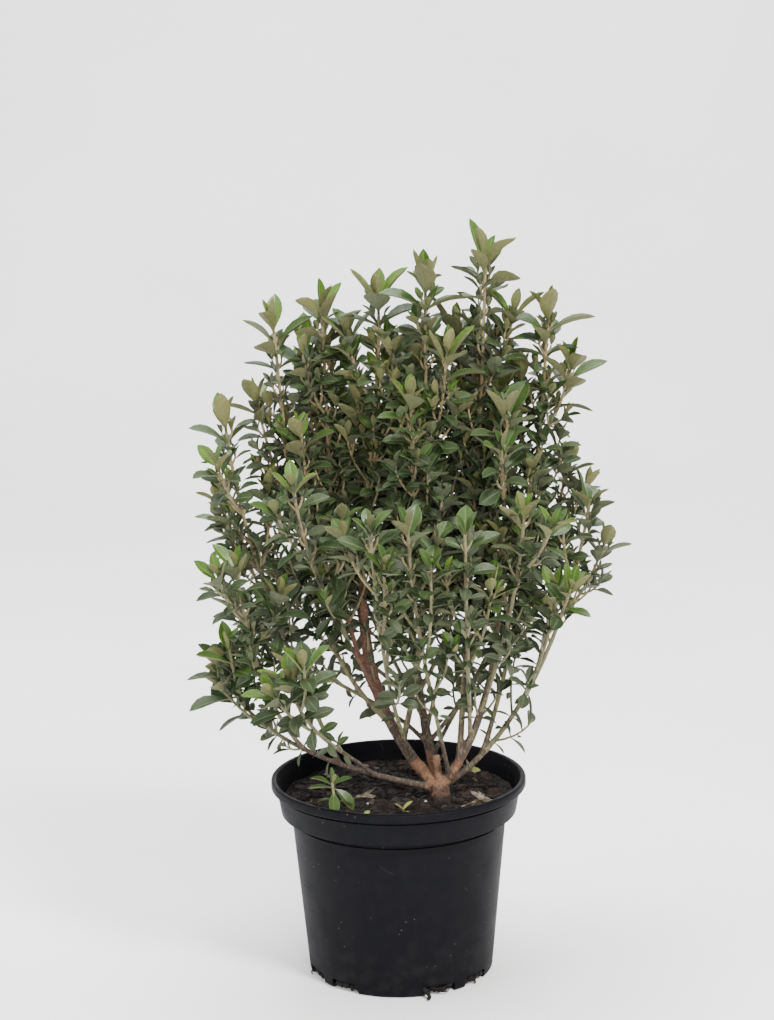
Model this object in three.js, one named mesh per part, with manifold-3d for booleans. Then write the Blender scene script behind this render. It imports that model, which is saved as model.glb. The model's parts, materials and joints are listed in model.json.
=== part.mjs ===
// Potted daisy bush: a many-stemmed evergreen shrub with small opposite leaves, in a round nursery pot.
// Millimetres, +Z up. The origin is the middle of the pot's flat underside, and -Y is the front.
// A short flared trunk forks just above the soil. Boughs rise from it, and each one carries a mass of
// foliage: a stem that goes on from the bough's tip, side twigs placed by a seeded rule, and leaves.
import * as THREE from "three";
import { mergeVertices } from "three/addons/utils/BufferGeometryUtils.js";
import Module from "manifold-3d";

const wasm = await Module();
wasm.setup();

// Driving dimensions
const GAP = 0.3; // between pieces that touch
const POT = {
  height: 130,
  lipRadius: 83.5,
  bandRadius: 80, // under the lip
  bandFootRadius: 77.2, // at the step
  stepHeight: 108, // where the band meets the wall
  wallRadius: 70.7, // just below the step
  baseRadius: 60.7,
  wall: 1.8,
  floor: 2.2,
  lipHeight: 5.6,
  lipWidth: 3.6,
  foot: 1.2, // the bevel at its foot
  sides: 28,
};
const DRAIN = {
  repeats: 4, // round the foot, each a wide foot, a notch, a narrow foot and a notch
  wideFoot: 42, // degrees
  narrowFoot: 8, // degrees
  turn: -96.5, // the bearing of the middle of the first wide foot
  height: 6.5,
  depth: 13,
};
const SOIL = { top: 118.5 };
const TRUNK = {
  foot: [27, -23],
  bend: [27.4, -22.5, 126],
  fork: [25, -20, 132],
  flare: 9.6,
  waist: 6.4,
  flarePower: 2.4, // how soon the flare runs out above the soil
  lobes: 5,
  lobeDepth: 0.13, // of the radius at the soil
  sides: 10,
};
const STUB = { at: 0.6, tip: [24.5, -19, 149], footGirth: 3.0, girth: 2.4 };
const CANE = {
  start: 0.62, // the share of the trunk's line at which the boughs leave it
  tipGirth: 1.0, // girths are radii
  stemGirth: 1.6, // the least that a bough has
  taper: 0.7,
  setOut: 0.3, // of its length, for which it keeps to its rise
  straighten: 0.36, // of its length, in which it turns up to its tip
  lean: 0.35,
  steps: 4,
  sides: 5,
};
const TWIG = {
  girth: 1.4,
  tipGirth: 1.2,
  lowest: 0.12, // the shares of the stem between which twigs leave it
  highest: 0.78,
  placeVaries: 0.08,
  turn: 137.5, // degrees from one twig to the next
  turnVaries: 24,
  reach: 18, // outwards from the stem
  reachVaries: [0.85, 0.4],
  drop: 0.62, // of the stem's length above it
  dropVaries: [0.85, 0.35],
  shortest: 34,
  clear: 10, // to another mass's twigs
  step: 66,
  bendSteps: 2,
};
const LEAF = {
  length: 24,
  tipLength: 28,
  width: 0.47, // of its length
  thick: 0.04, // of its length
  fold: 0.04,
  shrink: [1, 0.8, 0.64], // the lengths that are tried for a leaf's place
  lengthVaries: [0.86, 0.28],
  spacing: 44, // between pairs on a stem
  spacingVaries: [0.9, 0.2],
  bareFoot: 12, // the foot of a twig, where no leaf grows
  pairsAtTip: 2,
  tipSpacing: 6,
  firstPair: 0.6, // below the twig's end
  spread: 56, // degrees from the stem
  tipSpread: [22, 46], // the inner pair stands more upright
  spreadVaries: 16,
  turnVaries: 22,
  roll: 30, // degrees about its own midrib, at most
  margin: 0.9, // to the next mass's space
  clear: 1.2, // to a limb
  twigClear: 3.2, // from its blade's edge to a twig's centre line
  bareRoot: 0.22, // the share of its length, at its root, where it may meet its neighbours
  widest: 0.55, // of its length
  keel: 0.42, // of its length
};
const SPROUT = {
  foot: [-39, -60],
  lean: [2, -2],
  height: 25,
  girth: 1.4,
  leaf: 17,
  pairs: 3,
  topPair: 0.96, // of its height
  pairStep: 0.26,
  spread: [38, 55, 72], // of its pairs, from the top down
};

// The canes, each a bough that goes on as the stem of its foliage. A cane leaves the trunk, or its
// parent's bough at the share `at` of its length, sets out at `rise` degrees above level and ends at `tip`.
// Leaves start at the height `leafy`. `twigs` is the number of side twigs, and `bearing` is the first
// one's direction.
const CANES = {
  centre_left: {
    at: 0, tip: [-8, 0, 443],
    rise: 36, girth: 4.3, leafy: 228, twigs: 3, bearing: 195, bow: 1.3,
  },
  right: { at: 0, tip: [72, -26, 372], rise: 50, girth: 3.5, leafy: 212, twigs: 3, bearing: 250 },
  low_right: { at: 0, tip: [125, -4, 310], rise: 28, girth: 2.7, leafy: 178, twigs: 3, bearing: 230 },
  low_left: { at: 0, tip: [-113, -26, 214], rise: 12, girth: 2.9, leafy: 162, twigs: 3, bearing: 300 },
  back: { at: 0, tip: [4, 50, 396], rise: 42, girth: 3.8, leafy: 226, twigs: 3, bearing: 60 },
  top: {
    parent: "right", at: 0.26, tip: [60, 4, 467],
    rise: 84, girth: 2.6, leafy: 226, twigs: 4, bearing: 350,
  },
  top_centre: {
    parent: "centre_left", at: 0.3, tip: [22, -16, 456],
    rise: 74, girth: 2.5, leafy: 206, twigs: 4, bearing: 180,
  },
  top_left: {
    parent: "centre_left", at: 0.5, tip: [-44, 10, 434],
    rise: 58, girth: 2.4, leafy: 220, twigs: 3, bearing: 215,
  },
  far_left: {
    parent: "centre_left", at: 0.42, tip: [-75, 8, 426],
    rise: 40, girth: 2.2, leafy: 216, twigs: 3, bearing: 20,
  },
  top_right: {
    parent: "low_right", at: 0.5, tip: [99, 0, 430],
    rise: 70, girth: 2.2, leafy: 206, twigs: 3, bearing: 350,
  },
  left: {
    parent: "low_left", at: 0.66, tip: [-106, -8, 365],
    rise: 66, girth: 2.1, leafy: 196, twigs: 3, bearing: 250,
  },
  left_front: {
    parent: "low_left", at: 0.88, tip: [-99, -50, 282],
    rise: 46, girth: 1.9, leafy: 186, twigs: 3, bearing: 220,
  },
  front_left: {
    parent: "centre_left", at: 0.6, tip: [-62, -58, 334],
    rise: 56, girth: 2.0, leafy: 200, twigs: 3, bearing: 200,
  },
  front_centre_left: {
    parent: "centre_left", at: 0.2, tip: [-28, -88, 312],
    rise: 50, girth: 2.0, leafy: 188, twigs: 3, bearing: 150,
  },
  front_centre: {
    parent: "right", at: 0.12, tip: [8, -80, 310],
    rise: 66, girth: 2.0, leafy: 196, twigs: 3, bearing: 20,
  },
  front_centre_right: {
    parent: "right", at: 0.44, tip: [43, -76, 306],
    rise: 60, girth: 2.0, leafy: 190, twigs: 3, bearing: 80,
  },
  front_right: {
    parent: "right", at: 0.66, tip: [80, -64, 316],
    rise: 62, girth: 2.0, leafy: 200, twigs: 3, bearing: 330,
  },
  right_low: {
    parent: "low_right", at: 0.8, tip: [101, -42, 262],
    rise: 52, girth: 1.9, leafy: 192, twigs: 2, bearing: 300,
  },
  left_low: {
    parent: "low_left", at: 0.45, tip: [-66, -80, 216],
    rise: 42, girth: 1.8, leafy: 166, twigs: 3, bearing: 300,
  },
};

// The hidden side is filled by a rule: three rows of canes on arcs behind the trunk, from one bearing to
// another, all from the bough that leans back. `reach` is out from the pot's axis, `height` is at the tip.
const REAR_ROWS = {
  rear_high: { canes: 3, from: 35, to: 145, reach: 62, height: 396, leafy: 232, twigs: 3, at: 0.62 },
  rear_wide: { canes: 4, from: 8, to: 172, reach: 104, height: 322, leafy: 208, twigs: 2, at: 0.3 },
  rear_low: { canes: 2, from: 44, to: 140, reach: 104, height: 240, leafy: 186, twigs: 2, at: 0.2 },
};
const REAR = { parent: "back", rise: 48, girth: 2.0, wide: 1.1, back: 8, uneven: 12 };

const UP = new THREE.Vector3(0, 0, 1);
const radians = THREE.MathUtils.degToRad;
const point = (list) => new THREE.Vector3(...list);
const level = (degrees) => new THREE.Vector3(Math.cos(radians(degrees)), Math.sin(radians(degrees)), 0);

// Repeatable numbers from 0 to 1, so that the bush always grows in the same way.
function seeded(seed) {
  let state = Math.imul(seed + 1, 2654435761) >>> 0;
  return () => {
    state = (Math.imul(state, 1664525) + 1013904223) >>> 0;
    return state / 4294967296;
  };
}

const varied = ([least, more], random) => least + more * random();

// Materials
const finish = (color, roughness) => new THREE.MeshStandardMaterial({ color, roughness, metalness: 0 });
const MATERIALS = {
  pot: finish(0x29292b, 0.42),
  soil: finish(0x2b1e17, 0.95),
  bark: finish(0x8a5a40, 0.85),
  foliage: finish(0x4d6b3c, 0.55),
};

// Solids
function solidOf(geometry) {
  const bare = new THREE.BufferGeometry();
  bare.setAttribute("position", geometry.getAttribute("position"));
  bare.setIndex(geometry.getIndex());
  const merged = mergeVertices(bare, 1e-4);
  const index = merged.getIndex().array;
  const kept = [];
  for (let i = 0; i < index.length; i += 3) {
    const [a, b, c] = index.slice(i, i + 3);
    if (a !== b && b !== c && c !== a) kept.push(a, b, c);
  }
  return new wasm.Manifold(
    new wasm.Mesh({
      numProp: 3,
      vertProperties: Float32Array.from(merged.getAttribute("position").array),
      triVerts: Uint32Array.from(kept),
    }),
  );
}

function geometryOf(solid) {
  const mesh = solid.getMesh();
  const geometry = new THREE.BufferGeometry();
  geometry.setAttribute("position", new THREE.BufferAttribute(mesh.vertProperties, 3));
  geometry.setIndex(new THREE.BufferAttribute(mesh.triVerts, 1));
  geometry.computeVertexNormals();
  return geometry;
}

// The largest piece alone: loose scraps go, and a hollow that is sealed all round is filled.
function wholePiece(solid) {
  const pieces = solid.decompose();
  return pieces.reduce((best, piece) => (piece.volume() > best.volume() ? piece : best));
}

function fused(solids) {
  return wholePiece(solids.reduce((whole, solid) => whole.add(solid)));
}

// A turned shape: the profile's points are [radius, height], and it closes on the axis or on itself.
function turned(profile, sides) {
  const lathe = new THREE.LatheGeometry(profile.map(([r, z]) => new THREE.Vector2(r, z)), sides);
  return solidOf(lathe.rotateX(Math.PI / 2));
}

// A point on the straight line between two of a limb's rings, where the limb's own middle is
function chordPoint(curve, { from, steps }, t) {
  const place = Math.min((steps * (t - from)) / (1 - from), steps - 1e-6);
  const ring = (k) => curve.getPoint(from + ((1 - from) * k) / steps);
  return ring(Math.floor(place)).lerp(ring(Math.floor(place) + 1), place % 1);
}

// A limb along a curve: rings of corners, closed by flat ends. `radius` takes the fraction and the angle.
function limb(curve, { from = 0, to = 1, steps, sides, radius }) {
  const corners = [];
  const faces = [];
  const normal = new THREE.Vector3();
  for (let i = 0; i <= steps; i++) {
    const t = from + ((to - from) * i) / steps;
    const centre = curve.getPoint(t);
    const along = curve.getTangent(t);
    if (i === 0) normal.crossVectors(along, new THREE.Vector3(0.1, 1, 0)).normalize();
    else normal.addScaledVector(along, -normal.dot(along)).normalize();
    const across = new THREE.Vector3().crossVectors(along, normal);
    for (let k = 0; k < sides; k++) {
      const angle = (2 * Math.PI * k) / sides;
      const r = radius(t, angle);
      const corner = centre
        .clone()
        .addScaledVector(normal, r * Math.cos(angle))
        .addScaledVector(across, r * Math.sin(angle));
      corners.push(corner.x, corner.y, corner.z);
    }
  }
  const last = steps * sides;
  for (let i = 0; i < last; i += sides) {
    for (let k = 0; k < sides; k++) {
      const a = i + k;
      const b = i + ((k + 1) % sides);
      faces.push(a, b, b + sides, a, b + sides, a + sides);
    }
  }
  for (let k = 1; k < sides - 1; k++) {
    faces.push(0, k + 1, k);
    faces.push(last, last + k, last + k + 1);
  }
  const geometry = new THREE.BufferGeometry();
  geometry.setAttribute("position", new THREE.Float32BufferAttribute(corners, 3));
  geometry.setIndex(faces);
  return solidOf(geometry);
}

// Pot
function potProfile() {
  const { height, lipRadius, bandRadius, bandFootRadius, stepHeight, wallRadius, baseRadius, foot } = POT;
  const lipFoot = height - POT.lipHeight;
  return [
    [0, 0],
    [baseRadius - foot, 0],
    [baseRadius, foot],
    [wallRadius, stepHeight - 1],
    [bandFootRadius, stepHeight],
    [bandRadius, lipFoot - 0.4],
    [lipRadius - 0.8, lipFoot + 0.2],
    [lipRadius, lipFoot + 1.6],
    [lipRadius, height - 1.8],
    [lipRadius - 1.1, height - 0.4],
    [lipRadius - 2.3, height],
    [lipRadius - POT.lipWidth, height - 0.6],
    [bandRadius - POT.wall - 0.3, lipFoot - 0.4],
    ...potInside(0),
  ];
}

// The inner wall from the step down to the middle of the floor, or a line that lies clear of it
function potInside(clear) {
  return [
    [POT.bandFootRadius - POT.wall + 0.2 - clear, POT.stepHeight + 2 + clear],
    [POT.wallRadius - POT.wall - clear, POT.stepHeight + 0.6 + clear],
    [POT.baseRadius - POT.wall - clear, POT.floor + clear],
    [0, POT.floor + clear],
  ];
}

// One drain notch: a block set across the foot of the wall and turned to its place.
function drainNotch(middle, width) {
  const length = DRAIN.depth + 6;
  const across = 2 * POT.baseRadius * Math.sin(radians(width / 2));
  const block = new THREE.BoxGeometry(length, across, 2 * DRAIN.height);
  block.translate(POT.baseRadius + 4 - length / 2, 0, 0);
  block.rotateZ(radians(middle));
  return solidOf(block);
}

function pot() {
  const repeat = 360 / DRAIN.repeats;
  const notch = (repeat - DRAIN.wideFoot - DRAIN.narrowFoot) / 2;
  let body = turned(potProfile(), POT.sides);
  for (let k = 0; k < DRAIN.repeats; k++) {
    const foot = DRAIN.turn + k * repeat;
    const first = foot + DRAIN.wideFoot / 2 + notch / 2;
    const second = first + notch + DRAIN.narrowFoot;
    body = body.subtract(drainNotch(first, notch)).subtract(drainNotch(second, notch));
  }
  return wholePiece(body);
}

// Soil: fills the pot to a little below the lip
function soil() {
  const rise = (SOIL.top - POT.stepHeight) / (POT.height - POT.stepHeight);
  const wallAtTop = THREE.MathUtils.lerp(POT.bandFootRadius, POT.bandRadius, rise) - POT.wall;
  const topRadius = wallAtTop - 3 * GAP;
  const outline = [[0, SOIL.top], [topRadius, SOIL.top], ...potInside(1.4 * GAP)];
  return turned(outline.reverse(), POT.sides);
}

// Trunk: flared at the flat cut on the soil, with one old stub that was cut off above the fork
function trunkCurve() {
  const foot = point([...TRUNK.foot, SOIL.top + GAP]);
  return new THREE.QuadraticBezierCurve3(foot, point(TRUNK.bend), point(TRUNK.fork));
}

function trunkRadius(t, angle) {
  const flare = Math.pow(1 - t, TRUNK.flarePower);
  const lobe = 1 + TRUNK.lobeDepth * flare * Math.cos(TRUNK.lobes * angle);
  return (TRUNK.waist + (TRUNK.flare - TRUNK.waist) * flare) * lobe;
}

function trunkLimb(grow = 0) {
  const radius = (t, angle) => trunkRadius(t, angle) + grow;
  return limb(trunkCurve(), { steps: 6, sides: TRUNK.sides, radius });
}

function levelCut(solid, height) {
  const block = new THREE.BoxGeometry(400, 400, 100).translate(0, 0, height - 50);
  return solid.subtract(solidOf(block));
}

function stubLimb(grow = 0) {
  const curve = new THREE.LineCurve3(trunkCurve().getPoint(STUB.at), point(STUB.tip));
  const radius = (t) => THREE.MathUtils.lerp(STUB.footGirth, STUB.girth, t) + grow;
  return limb(curve, { steps: 3, sides: 6, radius });
}

function trunk() {
  return wholePiece(levelCut(trunkLimb().add(stubLimb()), SOIL.top + GAP));
}

// Canes
// A cane's centre line: it sets out towards its tip at its rise, and straightens up at the end.
function caneCurve(start, tip, rise, bow = 1) {
  const away = new THREE.Vector3(tip.x - start.x, tip.y - start.y, 0);
  const out = away.length();
  away.normalize();
  const length = start.distanceTo(tip);
  const setOut = new THREE.Vector3()
    .addScaledVector(away, Math.cos(radians(rise)))
    .addScaledVector(UP, Math.sin(radians(rise)));
  const lean = new THREE.Vector3().addScaledVector(away, (CANE.lean * out) / length).add(UP).normalize();
  return new THREE.CubicBezierCurve3(
    start,
    start.clone().addScaledVector(setOut, CANE.setOut * length * bow),
    tip.clone().addScaledVector(lean, -CANE.straighten * length),
    tip,
  );
}

// The fraction of a rising curve at which it passes a height.
function fractionAt(curve, height) {
  let low = 0;
  let high = 1;
  for (let k = 0; k < 30; k++) {
    const middle = (low + high) / 2;
    if (curve.getPoint(middle).z < height) low = middle;
    else high = middle;
  }
  return (low + high) / 2;
}

function rearCanes() {
  const rows = {};
  for (const [row, { canes: count, from, to, reach, height, at, ...rest }] of Object.entries(REAR_ROWS)) {
    for (let k = 0; k < count; k++) {
      const out = level(THREE.MathUtils.lerp(from, to, k / (count - 1))).multiplyScalar(reach);
      const tip = [REAR.wide * out.x, out.y + REAR.back, height + REAR.uneven * Math.cos(3 * k)];
      rows[`${row}_${k + 1}`] = { ...REAR, ...rest, at: at + 0.07 * k, tip, bearing: 54 * k };
    }
  }
  return rows;
}

function layOut() {
  const canes = [];
  const byName = {};
  for (const [name, row] of Object.entries({ ...CANES, ...rearCanes() })) {
    const parent = row.parent ? byName[row.parent] : null;
    const start = parent ? parent.curve.getPoint(row.at * parent.leafy) : trunkCurve().getPoint(CANE.start);
    const curve = caneCurve(start, point(row.tip), row.rise, row.bow);
    const leafy = fractionAt(curve, row.leafy);
    const radius = (t) => THREE.MathUtils.lerp(row.girth, CANE.tipGirth, Math.pow(t, CANE.taper));
    const cane = { name, ...row, parent, curve, leafy, radius };
    byName[name] = cane;
    canes.push(cane);
  }
  return canes;
}

function boughLimb(cane, grow = 0) {
  return limb(cane.curve, {
    to: cane.leafy,
    steps: CANE.steps,
    sides: CANE.sides,
    radius: (t) => Math.max(cane.radius(t), CANE.stemGirth) + grow,
  });
}

// A bough is cut clear of the trunk and of the boughs that were there before it, where it leaves them.
function bough(cane, earlier) {
  const clear = 1.2 * GAP;
  const forks = [trunkLimb(clear), stubLimb(clear), ...earlier.map((other) => boughLimb(other, clear))];
  return wholePiece(forks.reduce((limbLeft, fork) => limbLeft.subtract(fork), boughLimb(cane)));
}

// Foliage
// A side twig leaves its stem outwards and turns up beside it.
function twigCurve(stem, t, bearing, reach, length) {
  const start = chordPoint(stem.curve, stem, t);
  const rise = stem.curve.getTangent(t).add(UP).normalize();
  const out = level(bearing).multiplyScalar(reach);
  return new THREE.QuadraticBezierCurve3(
    start,
    start.clone().add(out.clone().multiplyScalar(0.75)).addScaledVector(rise, 0.35 * length),
    start.clone().add(out).addScaledVector(rise, length),
  );
}

function samples(curve, from, count) {
  return Array.from({ length: count + 1 }, (_, i) => curve.getPoint(from + ((1 - from) * i) / count));
}

function nearest(spot, spots) {
  return spots.reduce((least, other) => Math.min(least, other.distanceTo(spot)), Infinity);
}

// Each mass's stem and side twigs. A twig that comes near another mass is skipped.
function growTwigs(canes) {
  for (const cane of canes) {
    cane.spots = samples(cane.curve, cane.leafy, 40);
    const length = cane.curve.getLength() * (1 - cane.leafy);
    const from = cane.leafy + GAP / cane.curve.getLength();
    const steps = Math.max(3, Math.round(length / TWIG.step));
    const radius = (t) => Math.max(cane.radius(t), CANE.stemGirth);
    cane.twigsGrown = [{ curve: cane.curve, from, steps, radius, line: samples(cane.curve, from, 16) }];
  }
  canes.forEach((cane, index) => {
    const random = seeded(index);
    const [stem] = cane.twigsGrown;
    const stemLength = cane.curve.getPoint(cane.leafy).distanceTo(cane.curve.getPoint(1));
    for (let k = 0; k < cane.twigs; k++) {
      const even = THREE.MathUtils.lerp(TWIG.lowest, TWIG.highest, (k + 0.5) / cane.twigs);
      const share = even + TWIG.placeVaries * (random() - 0.5);
      const t = cane.leafy + (1 - cane.leafy) * share;
      const bearing = cane.bearing + TWIG.turn * (cane.twigs - 1 - k) + TWIG.turnVaries * (random() - 0.5);
      const reach = TWIG.reach * varied(TWIG.reachVaries, random);
      const drop = stemLength * (1 - share) * TWIG.drop * varied(TWIG.dropVaries, random);
      const length = Math.max(TWIG.shortest, drop);
      const curve = twigCurve(stem, t, bearing, reach, length);
      const spots = samples(curve, 0.25, 14);
      const others = canes.filter((other) => other !== cane);
      if (spots.some((spot) => others.some((other) => nearest(spot, other.spots) < TWIG.clear))) continue;
      const radius = (along) => THREE.MathUtils.lerp(TWIG.girth, TWIG.tipGirth, along);
      cane.twigsGrown.push({ curve, from: 0, steps: TWIG.bendSteps, radius, line: samples(curve, 0, 8) });
      cane.spots.push(...spots);
    }
  });
}

// A leaf: its root is sunk in the twig, its edges are raised above its midrib, and it is keeled below.
function leafCorners(root, along, upper, length) {
  const across = new THREE.Vector3().crossVectors(upper, along);
  const place = (lengthwise, sideways, lift) =>
    root
      .clone()
      .addScaledVector(along, lengthwise * length)
      .addScaledVector(across, sideways * length)
      .addScaledVector(upper, lift * length);
  return [
    place(0, 0, 0),
    place(LEAF.widest, -LEAF.width / 2, LEAF.fold),
    place(1, 0, 0),
    place(LEAF.widest, LEAF.width / 2, LEAF.fold),
    place(LEAF.keel, 0, -LEAF.thick),
  ];
}

function leafSolid(corners) {
  const [ROOT, RIGHT, TIP, LEFT, KEEL] = [0, 1, 2, 3, 4];
  const upperFaces = [ROOT, RIGHT, TIP, ROOT, TIP, LEFT];
  const edge = [ROOT, LEFT, TIP, RIGHT];
  const lowerFaces = edge.flatMap((corner, k) => [corner, edge[(k + 1) % edge.length], KEEL]);
  const positions = corners.flatMap((corner) => corner.toArray());
  const geometry = new THREE.BufferGeometry();
  geometry.setAttribute("position", new THREE.Float32BufferAttribute(positions, 3));
  geometry.setIndex([...upperFaces, ...lowerFaces]);
  return solidOf(geometry);
}

// The places of a twig's leaves, from its tip down: close pairs at the tip, then pairs along it.
function leafPlaces(twig, random) {
  const places = [];
  const length = twig.curve.getLength() * (1 - twig.from);
  let down = LEAF.firstPair;
  let turn = 360 * random();
  for (let pair = 0; down < length - LEAF.bareFoot; pair++) {
    const atTip = pair < LEAF.pairsAtTip;
    for (const side of [0, 180]) {
      places.push({
        t: 1 - ((1 - twig.from) * down) / length,
        turn: turn + side + LEAF.turnVaries * (random() - 0.5),
        spread: (atTip ? LEAF.tipSpread[pair] : LEAF.spread) + LEAF.spreadVaries * (random() - 0.5),
        roll: LEAF.roll * (2 * random() - 1),
        length: (atTip ? LEAF.tipLength : LEAF.length) * varied(LEAF.lengthVaries, random),
      });
    }
    turn += 90;
    down += atTip ? LEAF.tipSpacing : LEAF.spacing * varied(LEAF.spacingVaries, random);
  }
  return places;
}

function leafAt(twig, place) {
  const root = chordPoint(twig.curve, twig, place.t);
  const along = twig.curve.getTangent(place.t);
  const normal = new THREE.Vector3().crossVectors(along, new THREE.Vector3(0, 1, 0)).normalize();
  const out = normal.applyAxisAngle(along, radians(place.turn));
  const spread = radians(place.spread);
  const direction = along.clone().multiplyScalar(Math.cos(spread)).addScaledVector(out, Math.sin(spread));
  const upper = along.clone().multiplyScalar(Math.sin(spread)).addScaledVector(out, -Math.cos(spread));
  upper.applyAxisAngle(direction, radians(place.roll));
  return leafCorners(root, direction, upper, place.length);
}

// The two halves of a leaf's blade, without its root
function blade([root, right, tip, left]) {
  const heel = root.clone().lerp(tip, LEAF.bareRoot);
  return [new THREE.Triangle(heel, right, tip), new THREE.Triangle(heel, tip, left)];
}

function lineMeets(start, end, halves) {
  const reach = start.distanceTo(end);
  const ray = new THREE.Ray(start, end.clone().sub(start).normalize());
  return halves.some(({ a, b, c }) => {
    const hit = ray.intersectTriangle(a, b, c, false, new THREE.Vector3());
    return hit !== null && hit.distanceTo(start) < reach;
  });
}

function bladesMeet(one, other) {
  const edges = (halves) => halves.flatMap(({ a, b, c }) => [[a, b], [b, c], [c, a]]);
  const cuts = (halves, target) => edges(halves).some(([start, end]) => lineMeets(start, end, target));
  return cuts(one, other) || cuts(other, one);
}

// A leaf stays if it keeps to its own mass's space, and clear of every limb, the pot, the mass's twigs and
// the leaves that are there already.
function leafFits(corners, halves, cane, canes, limbSpots, kept) {
  const [root, right, tip, left] = corners;
  const others = canes.filter((other) => other !== cane);
  const middle = root.clone().lerp(tip, LEAF.widest);
  const edgeSpots = [right, left, tip, middle, right.clone().lerp(tip, 0.5), left.clone().lerp(tip, 0.5)];
  for (const spot of edgeSpots) {
    if (spot.z < POT.height + 4) return false;
    if (limbSpots.some(({ at, radius }) => spot.distanceTo(at) < radius + LEAF.clear)) return false;
    const own = nearest(spot, cane.spots);
    if (own < LEAF.twigClear) return false;
    if (others.some((other) => nearest(spot, other.spots) < own + LEAF.margin)) return false;
  }
  const meetsTwig = cane.twigsGrown.some(({ line }) =>
    line.some((spot, k) => k > 0 && lineMeets(line[k - 1], spot, halves)),
  );
  return !meetsTwig && !kept.some((other) => bladesMeet(halves, other));
}

function foliage(cane, canes, limbSpots, index) {
  const random = seeded(1000 + index);
  const solids = cane.twigsGrown.map((twig) => limb(twig.curve, { ...twig, sides: 3 }));
  const kept = [];
  for (const twig of cane.twigsGrown) {
    for (const place of leafPlaces(twig, random)) {
      for (const share of LEAF.shrink) {
        const corners = leafAt(twig, { ...place, length: place.length * share });
        const halves = blade(corners);
        if (!leafFits(corners, halves, cane, canes, limbSpots, kept)) continue;
        kept.push(halves);
        solids.push(leafSolid(corners));
        break;
      }
    }
  }
  return fused(solids);
}

// A young shoot that comes up through the soil beside the trunk
function sprout() {
  const foot = point([...SPROUT.foot, SOIL.top + GAP]);
  const curve = new THREE.LineCurve3(foot, foot.clone().add(point([...SPROUT.lean, SPROUT.height])));
  const stem = { curve, from: 0, steps: 2, radius: () => SPROUT.girth };
  const solids = [limb(curve, { ...stem, sides: 3 })];
  for (let pair = 0; pair < SPROUT.pairs; pair++) {
    for (const side of [0, 180]) {
      const place = {
        t: SPROUT.topPair - SPROUT.pairStep * pair,
        turn: 90 * pair + side,
        spread: SPROUT.spread[pair],
        roll: 0,
        length: SPROUT.leaf,
      };
      solids.push(leafSolid(leafAt(stem, place)));
    }
  }
  return levelCut(fused(solids), SOIL.top + GAP);
}

// Assembly
const bush = new THREE.Group();

function place(name, solid, material) {
  const mesh = new THREE.Mesh(geometryOf(solid), MATERIALS[material]);
  mesh.name = name;
  bush.add(mesh);
}

const canes = layOut();
growTwigs(canes);
const limbSpots = canes.flatMap((cane) =>
  Array.from({ length: 31 }, (_, i) => {
    const t = (cane.leafy * i) / 30;
    return { at: cane.curve.getPoint(t), radius: Math.max(cane.radius(t), CANE.stemGirth) };
  }),
);

place("pot", pot(), "pot");
place("soil", soil(), "soil");
place("trunk", trunk(), "bark");
place("sprout", sprout(), "foliage");
canes.forEach((cane, index) => {
  place(`bough_${cane.name}`, bough(cane, canes.slice(0, index)), "bark");
});
canes.forEach((cane, index) => {
  place(`foliage_${cane.name}`, foliage(cane, canes, limbSpots, index), "foliage");
});

export default bush;
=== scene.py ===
"""Looks of a potted daisy bush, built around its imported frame.

The bush grows by the same seeded rule as its solids, and is then carried on to finer shoots and to leaves of
their real size. Growth is worked out in millimetres, and meshes are made in metres.
"""

import json
import logging
import math
from dataclasses import dataclass, field, replace
from enum import Enum
from itertools import product

import bpy
import numpy as np
from bpy.types import Collection, Material, Mesh, Node, NodeSocket, NodeTree, Object, bpy_prop_collection
from mathutils import Matrix, Vector, noise
from mathutils.kdtree import KDTree

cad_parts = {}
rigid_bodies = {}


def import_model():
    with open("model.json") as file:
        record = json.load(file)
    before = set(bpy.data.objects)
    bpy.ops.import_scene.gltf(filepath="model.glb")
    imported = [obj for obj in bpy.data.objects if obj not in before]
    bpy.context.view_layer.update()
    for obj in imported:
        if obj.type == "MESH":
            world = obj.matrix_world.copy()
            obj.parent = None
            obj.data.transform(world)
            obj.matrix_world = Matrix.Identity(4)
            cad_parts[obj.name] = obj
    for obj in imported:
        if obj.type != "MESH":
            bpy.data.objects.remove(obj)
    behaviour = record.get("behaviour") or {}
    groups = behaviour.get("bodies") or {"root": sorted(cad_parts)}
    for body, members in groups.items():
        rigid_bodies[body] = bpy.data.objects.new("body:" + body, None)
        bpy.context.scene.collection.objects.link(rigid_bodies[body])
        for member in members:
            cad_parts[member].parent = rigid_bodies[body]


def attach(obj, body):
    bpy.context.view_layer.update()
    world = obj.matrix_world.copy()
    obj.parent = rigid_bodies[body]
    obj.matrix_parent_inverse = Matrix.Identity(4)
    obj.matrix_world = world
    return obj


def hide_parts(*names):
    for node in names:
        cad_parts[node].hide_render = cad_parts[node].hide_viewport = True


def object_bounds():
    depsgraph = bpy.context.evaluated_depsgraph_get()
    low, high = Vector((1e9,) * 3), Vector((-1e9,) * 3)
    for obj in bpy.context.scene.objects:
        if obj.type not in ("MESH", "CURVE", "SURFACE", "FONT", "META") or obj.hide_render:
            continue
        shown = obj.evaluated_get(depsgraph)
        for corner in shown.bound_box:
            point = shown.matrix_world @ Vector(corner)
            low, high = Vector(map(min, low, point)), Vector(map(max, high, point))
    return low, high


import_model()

CAD_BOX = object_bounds()
LOG = logging.getLogger("daisy_bush")
MM = 0.001
BODY = "root"
UP = np.array([0.0, 0.0, 1.0])
Colour = tuple[float, float, float]
Line = tuple[np.ndarray, np.ndarray]  # points and radii of a limb


# Vectors and curves

def unit(vector: np.ndarray) -> np.ndarray:
    """Returns the vector at length 1."""
    return vector / np.linalg.norm(vector)


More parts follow.
